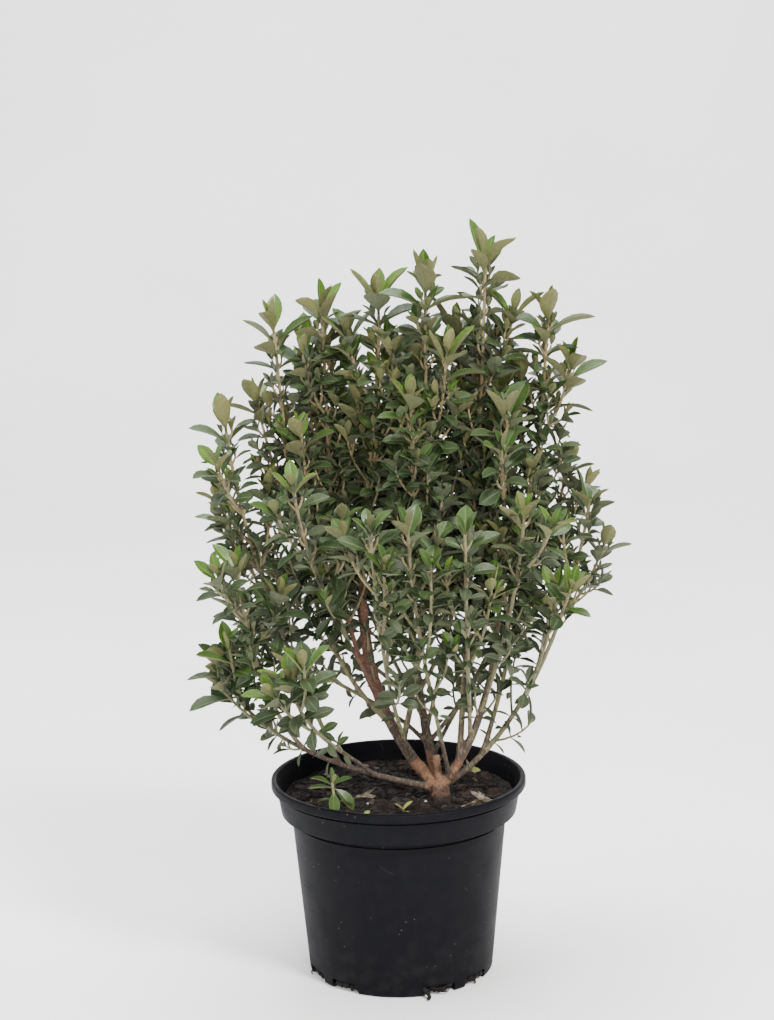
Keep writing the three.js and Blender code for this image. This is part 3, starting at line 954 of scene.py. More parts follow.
    def leaf_at(self, shoot: Shoot, pair: LeafPair, side: float, random: Seeded, spray: float) -> Leaf:
        """Sets one leaf of a pair.

        Args:
            shoot: The shoot that carries it.
            pair: The pair's place on the shoot.
            side: 0 or 180 degrees.
            random: The shoot's row of numbers.
            spray: The shoot's own number from 0 to 1.

        Returns:
            The leaf, at its full length.
        """
        centre = shoot.curve.point(pair.share)
        along = shoot.curve.tangent(pair.share)
        out = self.outward(along, pair.turn + side + random.around(self.LOOSE_TURN))
        spread = self.PAIR_SPREADS[min(pair.number, len(self.PAIR_SPREADS) - 1)]
        spread += random.around(self.LOOSE_SPREAD)
        spread += self.DROOP.at(pair.down)
        cosine, sine = math.cos(math.radians(spread)), math.sin(math.radians(spread))
        direction = along * cosine + out * sine
        upper = spun(along * sine - out * cosine, direction, random.around(self.LOOSE_ROLL))
        away = unit((centre - self.MIDDLE) * [1, 1, 0])
        upper = upper + away * self.OUTWARD.at(pair.number)
        upper = unit(upper - direction * (upper @ direction))
        length = self.leaf_length(shoot, pair) * random.varied(*self.LEAF_VARIED)
        age = self.leaf_age(shoot, pair, float(centre[2]), spray, random.draw())
        shapes = SMALL_SHAPES if length < self.SMALL_LEAF else self.FINE_SHAPES[age]
        shape = shapes[int(random.draw() * len(shapes)) % len(shapes)]
        root = centre + direction * (0.5 * shoot.radius(pair.share))
        return Leaf(root, direction, upper, length, shape, random.draw(), age)

    def leaf_spots(self, leaf: Leaf, length: float) -> list[np.ndarray]:
        """Returns a few spots on a leaf's blade: along its midrib and at its widest.

        Args:
            leaf: The leaf.
            length: Its length as tried.

        Returns:
            Five spots, the nearest first.
        """
        across = np.cross(leaf.along, leaf.upper)
        middle = leaf.root + leaf.along * (self.BLADE_WIDEST * length)
        wide = self.BLADE_HALF * length
        spots = [leaf.root + leaf.along * (share * length) for share in self.BLADE_SPOTS]
        return spots + [middle + across * wide, middle - across * wide]

    def limb_spots(self) -> Line:
        """Returns points on every limb's middle line, and the limb's radius at each.

        Returns:
            The points and the radii.
        """
        spots, girths = [], []
        for shoot in self.shoots:
            shares = np.linspace(0.0, 1.0, max(6, int(shoot.below[0] / self.LIMB_STEP)))
            spots.append(shoot.curve.points(shares))
            girths += [shoot.radius(share) for share in shares]
        return np.concatenate(spots), np.array(girths)

    def grow_leaves(self) -> list[Leaf]:
        """Gives every shoot its leaves, and leaves out those that would meet a limb or another leaf.

        Returns:
            The leaves, at the lengths that fit.
        """
        space = LeafSpace(*self.limb_spots())
        leaves = []
        for number, shoot in enumerate(self.shoots):
            random = Seeded(self.LEAF_SEED + number)
            spray = random.draw()
            for pair in self.leaf_pairs(number, shoot):
                shed = self.STEM_SHED.at(pair.down) if shoot.rank is Rank.STEM else self.SHED
                for side in (0, 180):
                    leaf = self.leaf_at(shoot, pair, side, random, spray)
                    chance = random.draw()
                    if chance >= shed and not self.is_open(leaf.root, (chance - shed) / (1 - shed)):
                        leaves += self.fitted(leaf, pair, space)
        return leaves

    def fitted(self, leaf: Leaf, pair: LeafPair, space: LeafSpace) -> list[Leaf]:
        """Finds the greatest length at which a leaf fits, and keeps its place.

        Args:
            leaf: The leaf at its full length.
            pair: The place of its pair.
            space: What has grown so far.

        Returns:
            The leaf, or nothing where it doesn't fit.
        """
        first_spot = 1 if pair.number < 2 else 0
        for share in self.LEAF_TRIES:
            length = leaf.length * share
            spots = self.leaf_spots(leaf, length)
            clear = self.LEAF_CLEAR * min(1.0, length / self.FULL_CLEAR_LENGTH)
            if not all(self.in_reach(spot, self.LEAF_MARGIN) for spot in spots):
                continue
            if any(self.in_sky(spot) or self.hides_old_stem(spot) for spot in spots):
                continue
            if any(space.meets_limb(spot, self.LIMB_CLEAR) for spot in spots[first_spot:]):
                continue
            if any(space.meets_leaf(spot, clear) for spot in spots[first_spot:]):
                continue
            space.claim(spots)
            shape = leaf.shape
            if length < self.SMALL_LEAF and shape not in SMALL_SHAPES:
                shape = SMALL_SHAPES[shape % 2]
            return [replace(leaf, length=length, shape=shape)]
        return []


# Meshes

def mesh_of(name: str, points: np.ndarray, faces: list, edges: list | None = None) -> Mesh:
    """Makes a mesh from points in millimetres.

    Args:
        name: The mesh's name.
        points: One row of x, y and z for each vertex.
        faces: Lists of vertex numbers.
        edges: Pairs of vertex numbers, where the mesh has edges of its own.

    Returns:
        The mesh, in metres.
    """
    mesh = bpy.data.meshes.new(name)
    mesh.from_pydata((np.asarray(points, float) * MM).tolist(), edges or [], faces)
    mesh.update()
    return mesh


def ring_faces(first: int, sides: int, bands: int) -> list[list[int]]:
    """Joins rings of vertices, each numbered on from the last, with faces.

    Args:
        first: The number of the first ring's first vertex.
        sides: How many vertices each ring has.
        bands: How many bands of faces to make.

    Returns:
        Four-cornered faces, outward for rings that turn to the left about the way they go on.
    """
    starts = [first + band * sides for band in range(bands)]
    return [[start + k, start + (k + 1) % sides, start + sides + (k + 1) % sides, start + sides + k]
            for start in starts for k in range(sides)]


def capped_faces(first: int, sides: int, bands: int) -> list[list[int]]:
    """Joins rings of vertices with faces, and closes both ends with flat ones.

    Args:
        first: The number of the first ring's first vertex.
        sides: How many vertices each ring has.
        bands: How many bands of faces to make.

    Returns:
        The faces, outward as those of `ring_faces`.
    """
    ends = [list(range(start, start + sides)) for start in (first, first + bands * sides)]
    return [ends[0][::-1], ends[1], *ring_faces(first, sides, bands)]


def turned_faces(rings: int, sides: int) -> list[list[int]]:
    """Joins a pole, rings of vertices and another pole, each numbered on from the last, with faces.

    Args:
        rings: How many rings there are.
        sides: How many vertices each ring has.

    Returns:
        The faces, outward for rings that turn to the left about the way they go on.
    """
    top, last = 1 + (rings - 1) * sides, 1 + rings * sides
    faces = [[0, 1 + (k + 1) % sides, 1 + k] for k in range(sides)] + ring_faces(1, sides, rings - 1)
    return faces + [[top + k, top + (k + 1) % sides, last] for k in range(sides)]


def turned_points(profile: list[tuple[float, float]], sides: int) -> np.ndarray:
    """Turns a profile that starts and ends on the axis.

    Args:
        profile: Radius and height of each point.
        sides: The number of points round each ring.

    Returns:
        A row for the first pole, for each point of each ring and for the last pole.
    """
    rings = [level(360 * k / sides) * radius + UP * height
             for radius, height in profile[1:-1] for k in range(sides)]
    return np.array([UP * profile[0][1], *rings, UP * profile[-1][1]])


def placed(mesh: Mesh, collection: Collection | None = None) -> Object:
    """Makes an object of a mesh, in the scene or in a collection of its own.

    Args:
        mesh: The mesh.
        collection: The collection, or None for the scene's own.

    Returns:
        The object.
    """
    thing = bpy.data.objects.new(mesh.name, mesh)
    (collection or bpy.context.scene.collection).objects.link(thing)
    return thing


def remove(thing: Object) -> None:
    """Removes an object and its mesh.

    Args:
        thing: The object.
    """
    mesh = thing.data
    bpy.data.objects.remove(thing)
    bpy.data.meshes.remove(mesh)


def plain_copy(source: Object, name: str) -> Object:
    """Turns an object's evaluated result into a plain mesh object, and removes the source.

    Args:
        source: An object with modifiers.
        name: The new object's name.

    Returns:
        An object at the origin with a mesh and no modifiers.
    """
    graph = bpy.context.evaluated_depsgraph_get()
    mesh = bpy.data.meshes.new_from_object(source.evaluated_get(graph), depsgraph=graph)
    remove(source)
    mesh.name = name
    return placed(mesh)


def grown(mesh: Mesh, tree: NodeTree, values: dict[str, object]) -> Object:
    """Runs a mesh through a geometry node tree.

    Args:
        mesh: The mesh that the tree works on.
        tree: The tree.
        values: The tree's inputs by name.

    Returns:
        The result as a plain mesh object, named as the mesh was.
    """
    name = mesh.name
    source = placed(mesh)
    modifier = source.modifiers.new("growth", "NODES")
    modifier.node_group = tree
    for item in tree.interface.items_tree:
        if item.item_type == "SOCKET" and item.in_out == "INPUT" and item.name in values:
            modifier[item.identifier] = values[item.name]
    return plain_copy(source, name)


def set_values(mesh: Mesh, name: str, values: np.ndarray, kind: str = "FLOAT",
               domain: str = "POINT") -> None:
    """Writes a named attribute on a mesh.

    Args:
        mesh: The mesh.
        name: The attribute's name.
        values: One value or vector for each element.
        kind: Its data type.
        domain: POINT, EDGE or FACE.
    """
    attribute = mesh.attributes.new(name, kind, domain)
    key = "vector" if kind == "FLOAT_VECTOR" else "value"
    attribute.data.foreach_set(key, np.asarray(values).ravel())


# Node trees

class TreeWriter:
    """Adds nodes to a tree and joins them up."""

    def __init__(self, tree: NodeTree) -> None:
        """Keeps the tree that it writes."""
        self.tree = tree

    @staticmethod
    def first(sockets: bpy_prop_collection, key: str | int | None = None) -> NodeSocket:
        """Returns a node's socket by its name or number, or the first that is in use.

        Args:
            sockets: The node's inputs or outputs.
            key: The name or number, if any.

        Returns:
            The socket.
        """
        if isinstance(key, int):
            return sockets[key]
        return next(s for s in sockets if s.enabled and (key is None or s.name == key))

    def add(self, kind: str, inputs: dict | None = None, **settings: object) -> Node:
        """Adds a node.

        Args:
            kind: The node's type.
            inputs: Values, sockets or nodes for its inputs, by name or number.
            settings: The node's own properties.

        Returns:
            The node.
        """
        node = self.tree.nodes.new(kind)
        for key, value in settings.items():
            setattr(node, key, value)
        for key, value in (inputs or {}).items():
            self.feed(self.first(node.inputs, key), value)
        return node

    def feed(self, socket: NodeSocket, value: object) -> None:
        """Joins a node or a socket to an input, or sets a plain value there.

        Args:
            socket: The input.
            value: The node, the socket or the plain value.
        """
        if isinstance(value, Node):
            self.tree.links.new(self.first(value.outputs), socket)
        elif isinstance(value, NodeSocket):
            self.tree.links.new(value, socket)
        else:
            socket.default_value = value

    def math(self, operation: str, *values: object) -> Node:
        """Adds a math node."""
        return self.add("ShaderNodeMath", dict(enumerate(values)), operation=operation)

    def vector_math(self, operation: str, *values: object) -> Node:
        """Adds a vector math node."""
        return self.add("ShaderNodeVectorMath", dict(enumerate(values)), operation=operation)

    def noise(self, vector: object, scale: object, detail: object = 2.0, rough: float = 0.5) -> Node:
        """Adds a noise texture."""
        inputs = {"Vector": vector, "Scale": scale, "Detail": detail, "Roughness": rough}
        return self.add("ShaderNodeTexNoise", inputs)

    def smooth_step(self, value: object, low: object, high: object) -> Node:
        """Adds a smooth step from 0 at low to 1 at high."""
        inputs = {"Value": value, "From Min": low, "From Max": high}
        return self.add("ShaderNodeMapRange", inputs, interpolation_type="SMOOTHSTEP")

    def blend(self, share: object, first: object, second: object) -> NodeSocket:
        """Adds a blend of two colours and returns its output.

        Args:
            share: The blend's factor.
            first: The colour at 0.
            second: The colour at 1.

        Returns:
            The blended colour.
        """
        full = [value if isinstance(value, (Node, NodeSocket)) else (*value, 1.0)
                for value in (first, second)]
        inputs = {"Factor": share, "A": full[0], "B": full[1]}
        return self.first(self.add("ShaderNodeMix", inputs, data_type="RGBA").outputs)


class Socket(Enum):
    """The kinds of socket that a group has."""

    GEOMETRY = "NodeSocketGeometry"
    COLLECTION = "NodeSocketCollection"
    MATERIAL = "NodeSocketMaterial"
    VECTOR = "NodeSocketVector"
    FLOAT = "NodeSocketFloat"
    INT = "NodeSocketInt"


class GroupWriter(TreeWriter):
    """Writes a node group with named sockets."""

    KINDS = {float: Socket.FLOAT, int: Socket.INT, tuple: Socket.VECTOR}

    def __init__(self, name: str, kind: str, inputs: dict[str, object], output: tuple[str, Socket]) -> None:
        """Starts the group.

        Args:
            name: The group's name.
            kind: GeometryNodeTree or ShaderNodeTree.
            inputs: Each input's default value, or its kind where it has none.
            output: The name and the kind of what it puts out.
        """
        super().__init__(bpy.data.node_groups.new(name, kind))
        for label, value in inputs.items():
            socket_kind = value if isinstance(value, Socket) else self.KINDS[type(value)]
            socket = self.tree.interface.new_socket(label, in_out="INPUT", socket_type=socket_kind.value)
            if value is not socket_kind:
                socket.default_value = value
        self.tree.interface.new_socket(output[0], in_out="OUTPUT", socket_type=output[1].value)
        self.output = output[0]
        self.given = self.add("NodeGroupInput").outputs

    def put_out(self, value: object) -> NodeTree:
        """Puts out a value, and returns the finished tree."""
        self.add("NodeGroupOutput", {self.output: value})
        return self.tree


class GrowthWriter(GroupWriter):
    """Writes a geometry tree that works on a mesh and gives the result its finish."""

    def __init__(self, name: str, inputs: dict[str, object]) -> None:
        """Starts the tree.

        Args:
            name: The tree's name.
            inputs: Each input's default value, or its kind where it has none.
        """
        given = {"Geometry": Socket.GEOMETRY} | inputs
        super().__init__(name, "GeometryNodeTree", given, ("Geometry", Socket.GEOMETRY))

    def attribute(self, name: str, kind: str = "FLOAT") -> Node:
        """Adds a node that reads a named attribute."""
        return self.add("GeometryNodeInputNamedAttribute", {"Name": name}, data_type=kind)

    def random(self, kind: str, low: object, high: object) -> Node:
        """Adds a random value for each point, by the tree's own seed."""
        inputs = {"Min": low, "Max": high, "Seed": self.given["Seed"]}
        return self.add("FunctionNodeRandomValue", inputs, data_type=kind)

    def pushed(self, surface: object, height: object) -> Node:
        """Moves a surface out along its normals by a height, and smooths its shading.

        Args:
            surface: The surface.
            height: How far each point moves.

        Returns:
            The node that puts out the surface.
        """
        normal = self.add("GeometryNodeInputNormal")
        push = self.add("ShaderNodeVectorMath", {0: normal, 3: height}, operation="SCALE")
        moved = self.add("GeometryNodeSetPosition", {"Geometry": surface, "Offset": push})
        return self.add("GeometryNodeSetShadeSmooth", {"Geometry": moved})

    def instances(self, points: object, kind: str, pick: object, turn: object, size: object) -> Node:
        """Sets one shape of a collection on each point.

        Args:
            points: The points.
            kind: The name of the input that gives the collection.
            pick: The number of the shape.
            turn: Its rotation.
            size: Its scale.

        Returns:
            The node that puts out the instances.
        """
        shapes = self.add("GeometryNodeCollectionInfo", {
            "Collection": self.given[kind], "Separate Children": True, "Reset Children": True})
        return self.add("GeometryNodeInstanceOnPoints", {
            "Points": points, "Instance": shapes, "Pick Instance": True, "Instance Index": pick,
            "Rotation": turn, "Scale": size})

    def end(self, geometry: object, finish: str = "Finish", second: str = "") -> NodeTree:
        """Makes the result real, sets its finish and puts it out.

        Args:
            geometry: The result.
            finish: The name of the input that gives its finish.
            second: The name of the input that gives the finish of faces marked `underside`, if any.

        Returns:
            The tree.
        """
        real = self.add("GeometryNodeRealizeInstances", {"Geometry": geometry})
        done = self.add("GeometryNodeSetMaterial", {"Geometry": real, "Material": self.given[finish]})
        if second:
            marked = self.attribute("underside", "BOOLEAN")
            done = self.add("GeometryNodeSetMaterial", {"Geometry": done, "Selection": marked,
                                                        "Material": self.given[second]})
        return self.put_out(done)


STREWN_SHAPES = 10


def limb_tree() -> NodeTree:
    """Builds the tree that sweeps a round limb along each line of a mesh, as thick as its girth says.

    Returns:
        The node tree.
    """
    writer = GrowthWriter("Limbs along lines", {
        "Sides": 8, "Unevenness": 0.1, "Grain": 400.0, "Finish": Socket.MATERIAL})
    girth = writer.attribute("girth")
    curve = writer.add("GeometryNodeMeshToCurve", {"Mesh": writer.given["Geometry"]})
    ring = writer.add("GeometryNodeCurvePrimitiveCircle",
                      {"Resolution": writer.given["Sides"], "Radius": 1.0})
    swept = writer.add("GeometryNodeCurveToMesh",
                       {"Curve": curve, "Profile Curve": ring, "Scale": girth, "Fill Caps": True})
    place = writer.add("GeometryNodeInputPosition")
    bumps = writer.math("SUBTRACT", writer.noise(place, writer.given["Grain"]), 0.5)
    share = writer.math("MULTIPLY", bumps, writer.given["Unevenness"])
    return writer.end(writer.pushed(swept, writer.math("MULTIPLY", share, girth)))


def relief_tree() -> NodeTree:
    """Builds the tree that gives bark its ridges, deeper where the limb is thicker and older.

    Returns:
        The node tree.
    """
    writer = GrowthWriter("Bark relief", {
        "Ridge Depth": 0.1, "Ridge Grain": 900.0, "Swell Depth": 0.1, "Swell Grain": 160.0,
        "Finish": Socket.MATERIAL})
    place = writer.add("GeometryNodeInputPosition")
    drawn_out = writer.vector_math("MULTIPLY", place, (1.0, 1.0, 0.22))
    ridges = writer.noise(drawn_out, writer.given["Ridge Grain"], 3.0, 0.6)
    swells = writer.noise(place, writer.given["Swell Grain"])
    terms = [writer.math("MULTIPLY", writer.math("SUBTRACT", bumps, 0.5), writer.given[depth])
             for bumps, depth in ((ridges, "Ridge Depth"), (swells, "Swell Depth"))]
    height = writer.math("MULTIPLY", writer.math("ADD", *terms), writer.attribute("girth"))
    age = writer.math("MULTIPLY_ADD", writer.attribute("bark_stage"), 0.8, 0.35)
    return writer.end(writer.pushed(writer.given["Geometry"], writer.math("MULTIPLY", height, age)))


def spray_tree() -> NodeTree:
    """Builds the tree that sets a leaf on each point, turned, sized and shaped by the point's attributes.

    Returns:
        The node tree.
    """
    writer = GrowthWriter("Leaf sprays", {
        "Leaf Shapes": Socket.COLLECTION, "Length": 1.0, "Upper Finish": Socket.MATERIAL,
        "Under Finish": Socket.MATERIAL})
    axes = {"Primary Axis": writer.attribute("along", "FLOAT_VECTOR"),
            "Secondary Axis": writer.attribute("upper", "FLOAT_VECTOR")}
    turn = writer.add("FunctionNodeAxesToRotation", axes, primary_axis="Y", secondary_axis="Z")
    size = writer.math("MULTIPLY", writer.attribute("size"), writer.given["Length"])
    pick = writer.attribute("shape", "INT")
    leaves = writer.instances(writer.given["Geometry"], "Leaf Shapes", pick, turn, size)
    return writer.end(leaves, "Upper Finish", "Under Finish")


def scatter_tree() -> NodeTree:
    """Builds the tree that strews small shapes over a surface, where its `strewn` attribute allows.

    Returns:
        The node tree.
    """
    writer = GrowthWriter("Strewn pieces", {
        "Shapes": Socket.COLLECTION, "Density": 1000.0, "Seed": 1, "Smallest": 0.002, "Largest": 0.004,
        "Tilt": 0.3, "Finish": Socket.MATERIAL})
    density = writer.math("MULTIPLY", writer.attribute("strewn"), writer.given["Density"])
    points = writer.add("GeometryNodeDistributePointsOnFaces", {
        "Mesh": writer.given["Geometry"], "Density": density, "Seed": writer.given["Seed"]}).outputs
    tilt = writer.given["Tilt"]
    back = writer.math("MULTIPLY", tilt, -1.0)
    low = writer.add("ShaderNodeCombineXYZ", {"X": back, "Y": back, "Z": 0.0})
    high = writer.add("ShaderNodeCombineXYZ", {"X": tilt, "Y": tilt, "Z": 2 * math.pi})
    angles = writer.add("FunctionNodeEulerToRotation", {"Euler": writer.random("FLOAT_VECTOR", low, high)})
    turn = writer.add("FunctionNodeRotateRotation", {"Rotation": points["Rotation"], "Rotate By": angles},
                      rotation_space="LOCAL")
    size = writer.random("FLOAT", writer.given["Smallest"], writer.given["Largest"])
    pick = writer.random("INT", 0, STREWN_SHAPES - 1)
    return writer.end(writer.instances(points["Points"], "Shapes", pick, turn, size))


# Shared shader groups

class SurfaceGroups:
    """The shader groups that more than one finish uses."""

    def __init__(self) -> None:
        """Builds each group once."""
        self.mottle = self.build_mottle()
        self.grain = self.build_grain()
        self.specks = self.build_specks()

    @staticmethod
    def build_mottle() -> NodeTree:
        """Builds the group that puts out soft patches as a mask from 0 to 1.

        Returns:
            The node tree.
        """
        inputs = {"Vector": Socket.VECTOR, "Scale": 100.0, "Detail": 3.0, "Low": 0.35, "High": 0.65}
        writer = GroupWriter("Mottle", "ShaderNodeTree", inputs, ("Mask", Socket.FLOAT))
        spots = writer.noise(writer.given["Vector"], writer.given["Scale"], writer.given["Detail"])
        return writer.put_out(writer.smooth_step(spots, writer.given["Low"], writer.given["High"]))

    @staticmethod
    def build_grain() -> NodeTree:
        """Builds the group that puts out a fine surface height, coarse and fine grain together.

        Returns:
            The node tree.
        """
        inputs = {"Vector": Socket.VECTOR, "Scale": 800.0, "Stretch": (1.0, 1.0, 1.0)}
        writer = GroupWriter("Fine grain", "ShaderNodeTree", inputs, ("Height", Socket.FLOAT))
        scale = writer.given["Scale"]
        drawn_out = writer.vector_math("MULTIPLY", writer.given["Vector"], writer.given["Stretch"])
        coarse = writer.noise(drawn_out, scale, 3.0, 0.6)
        fine = writer.noise(drawn_out, writer.math("MULTIPLY", scale, 3.7), 2.0, 0.5)
        return writer.put_out(writer.math("MULTIPLY_ADD", fine, 0.35, coarse))

    @staticmethod
    def build_specks() -> NodeTree:
        """Builds the group that puts out scattered specks as a mask, thicker in some places than others.

        Returns:
            The node tree.
        """
        inputs = {"Vector": Socket.VECTOR, "Scale": 300.0, "Size": 0.1}
        writer = GroupWriter("Specks", "ShaderNodeTree", inputs, ("Mask", Socket.FLOAT))
        place, scale = writer.given["Vector"], writer.given["Scale"]
        cells = writer.add("ShaderNodeTexVoronoi", {"Vector": place, "Scale": scale})
        where = writer.noise(place, writer.math("MULTIPLY", scale, 0.13))
        size = writer.math("MULTIPLY", writer.smooth_step(where, 0.42, 0.62), writer.given["Size"])
        edge = writer.math("MULTIPLY", size, 0.5)
        return writer.put_out(writer.smooth_step(cells.outputs["Distance"], size, edge))


# Finishes

class MaterialWriter(TreeWriter):
    """Writes one material around its principled shader."""

    SOCKETS = {"colour": "Base Color", "rough": "Roughness", "sheen": "Sheen Weight",
               "sheen_rough": "Sheen Roughness", "specular": "Specular IOR Level", "coat": "Coat Weight",
               "coat_rough": "Coat Roughness", "normal": "Normal"}

    def __init__(self, name: str, groups: SurfaceGroups) -> None:
        """Starts the material and its object coordinates.

        Args:
            name: The material's name.
            groups: The shared shader groups.
        """
        self.material = bpy.data.materials.new(name)
        self.material.use_nodes = True
        super().__init__(self.material.node_tree)
        self.shader = self.tree.nodes["Principled BSDF"]
        self.groups = groups
        self.place = self.add("ShaderNodeTexCoord").outputs["Object"]

    def attribute(self, name: str) -> NodeSocket:
        """Adds a node that reads a named number of the mesh."""
        return self.add("ShaderNodeAttribute", attribute_name=name).outputs["Fac"]

    def height(self) -> NodeSocket:
        """Adds a node that reads the height above the ground, in metres."""
        return self.add("ShaderNodeSeparateXYZ", {"Vector": self.place}).outputs["Z"]

    def stretched(self, upward: float) -> NodeSocket:
        """Adds coordinates for a pattern that is drawn out or squeezed along the height."""
        return self.vector_math("MULTIPLY", self.place, (1.0, 1.0, upward)).outputs[0]

    def group(self, tree: NodeTree, **inputs: object) -> NodeSocket:
        """Adds a shared group on the object's coordinates and returns its output.

        Args:
            tree: The shared group.
            inputs: Its inputs by name.

        Returns:
            Its output.
        """
        return self.add("ShaderNodeGroup", {"Vector": self.place} | inputs, node_tree=tree).outputs[0]

    def mottle(self, scale: float, low: float = 0.35, high: float = 0.65, detail: float = 3.0,
               **inputs: object) -> NodeSocket:
        """Adds a mask of soft patches."""
        return self.group(self.groups.mottle, Scale=scale, Low=low, High=high, Detail=detail, **inputs)

    def weakened(self, mask: object, most: float) -> Node:
        """Adds a mask that goes up to a given strength only."""
        return self.math("MULTIPLY", mask, most)

    def between(self, mask: object, low: float, high: float) -> Node:
        """Adds a value that goes from low to high as a mask goes from 0 to 1."""
        return self.add("ShaderNodeMapRange", {"Value": mask, "To Min": low, "To Max": high})

    def grain(self, scale: float, depth: float, strength: float = 1.0,
              stretch: tuple[float, float, float] = (1.0, 1.0, 1.0)) -> None:
        """Gives the surface a fine grain.

        Args:
            scale: How fine it is.
            depth: How deep it is, in metres.
            strength: How much of it shows.
            stretch: How it is drawn out along each axis.
        """
        height = self.group(self.groups.grain, Scale=scale, Stretch=stretch)
        inputs = {"Height": height, "Distance": depth, "Strength": strength}
        self.wire(normal=self.add("ShaderNodeBump", inputs))

    def wire(self, **sockets: object) -> None:
        """Joins nodes to the shader's sockets, or sets plain numbers there.

        Args:
            sockets: Nodes, sockets or numbers by short names.
        """
        for key, value in sockets.items():
            self.feed(self.shader.inputs[self.SOCKETS[key]], value)


@dataclass(frozen=True)
class Finish:
    """A finish, which writes a material of its own."""

    name: str

    def material(self, groups: SurfaceGroups) -> Material:
        """Builds the material.

        Args:
            groups: The shared shader groups.

        Returns:
            The material.
        """
        writer = MaterialWriter(self.name, groups)
        self.write(writer)
        return writer.material

    def write(self, writer: MaterialWriter) -> None:
        """Adds the finish's nodes with the material's writer."""
        raise NotImplementedError


@dataclass(frozen=True)
class LeafUpperFinish(Finish):
    """The upper side of a leaf: leathery, glossy and a little uneven in colour."""

    deep: Colour
    light: Colour
    vein: Colour
    rough: tuple[float, float] = (0.36, 0.52)
    coat: float = 0.0

    def write(self, writer: MaterialWriter) -> None:
        """Adds a blade by the leaf's tone and soft patches, with a paler midrib and rim.

        Args:
            writer: The material's writer.
        """
        across = writer.attribute("across")
        share = writer.math("MULTIPLY_ADD", writer.mottle(260, 0.3, 0.7), 0.35,
                            writer.weakened(writer.attribute("tone"), 0.65))
        blade = writer.blend(share, self.deep, self.light)
        midrib = writer.weakened(writer.smooth_step(across, 0.16, 0.0), 0.5)
        rim = writer.weakened(writer.smooth_step(across, 0.86, 1.0), 0.6)
        colour = writer.blend(rim, writer.blend(midrib, blade, self.vein), self.vein)
        writer.wire(colour=colour, rough=writer.between(writer.mottle(700), *self.rough), coat=self.coat,
                    coat_rough=0.22, specular=0.2)
        writer.grain(900.0, 0.00012, 0.6)


@dataclass(frozen=True)
class LeafUnderFinish(Finish):
    """The underside of a leaf: matt felt, olive to beige."""

    deep: Colour
    light: Colour

    def write(self, writer: MaterialWriter) -> None:
        """Adds felt by the leaf's tone and soft patches.

        Args:
            writer: The material's writer.
        """
        share = writer.math("MULTIPLY_ADD", writer.mottle(500), 0.4,
                            writer.weakened(writer.attribute("tone"), 0.6))
        writer.wire(colour=writer.blend(share, self.deep, self.light),
                    rough=writer.between(writer.mottle(900), 0.72, 0.9), sheen=0.05, sheen_rough=0.5,
                    specular=0.15)
        writer.grain(2200.0, 0.00008, 0.6)


@dataclass(frozen=True)
class FeltedStemFinish(Finish):
    """Young stems: cream felt over green-tan, greener lower down and darker there as painted crown shade."""

    upper: Colour
    lower: Colour
    streak: Colour
    heights: tuple[float, float]

    def write(self, writer: MaterialWriter) -> None:
        """Adds felt by height, darker lower down as painted shade, with brown streaks.

        Args:
            writer: The material's writer.
        """
        low, high = self.heights
        # the lower colour is the older stems' green-tan, darkened as painted shade of the crown above
        base = writer.blend(writer.smooth_step(writer.height(), low * MM, high * MM), self.lower, self.upper)
        streaks = writer.weakened(writer.mottle(320, 0.45, 0.7), 0.7)
        writer.wire(colour=writer.blend(streaks, base, self.streak),
                    rough=writer.between(writer.mottle(800), 0.6, 0.85), sheen=0.2, sheen_rough=0.5,
                    specular=0.3)
        writer.grain(1500.0, 0.00015, 0.8, (1.0, 1.0, 0.3))


@dataclass(frozen=True)
class BarkFinish(Finish):
    """Bark by its stage: green-tan, then grey-brown, red-brown and, on the old foot, peeling orange-tan.

    `stages` says from which stage to which each of the last three takes the place of the one before.
    """

    name: str = "bark"
    green: tuple[Colour, Colour] = ((0.15, 0.14, 0.07), (0.085, 0.062, 0.038))
    brown: tuple[Colour, Colour] = ((0.052, 0.037, 0.027), (0.13, 0.1, 0.074))
    red: tuple[Colour, Colour] = ((0.1, 0.049, 0.033), (0.17, 0.096, 0.063))
    orange: tuple[Colour, Colour] = ((0.185, 0.098, 0.056), (0.082, 0.043, 0.027))
    worn: Colour = (0.04, 0.024, 0.017)
    foot: Colour = (0.017, 0.0105, 0.0082)
    foot_heights: tuple[float, float] = (121, 132)
    stages: tuple[tuple[float, float], ...] = ((0.1, 0.3), (0.42, 0.56), (0.66, 0.9))

    def write(self, writer: MaterialWriter) -> None:
        """Adds the four kinds of bark, each over the last where the limb is old enough, and a dark foot.

        Args:
            writer: The material's writer.
        """
        wander = writer.math("SUBTRACT", writer.mottle(210, 0.3, 0.7, 4.0), 0.5)
        stage = writer.math("MULTIPLY_ADD", wander, 0.2, writer.attribute("bark_stage"))
        drawn_out = writer.stretched(0.3)
        colour = writer.blend(writer.mottle(520, 0.45, 0.62, Vector=drawn_out), *self.green)
        grained = writer.blend(writer.weakened(writer.mottle(700, 0.42, 0.7, 4.0), 0.7), *self.orange)
        places = writer.weakened(writer.mottle(130, 0.52, 0.7, 5.0), 0.85)
        barks = (writer.blend(writer.mottle(700, 0.5, 0.7, Vector=drawn_out), *self.brown),
                 writer.blend(writer.mottle(420, 0.45, 0.7), *self.red),
                 writer.blend(places, grained, self.worn))
        for ends, bark in zip(self.stages, barks):
            colour = writer.blend(writer.smooth_step(stage, *ends), colour, bark)
        low, high = self.foot_heights
        colour = writer.blend(writer.smooth_step(writer.height(), high * MM, low * MM), colour, self.foot)
        writer.wire(colour=colour, rough=writer.between(writer.mottle(600), 0.68, 0.92), specular=0.3)
        writer.grain(1100.0, 0.0004, 0.9, (1.0, 1.0, 0.25))


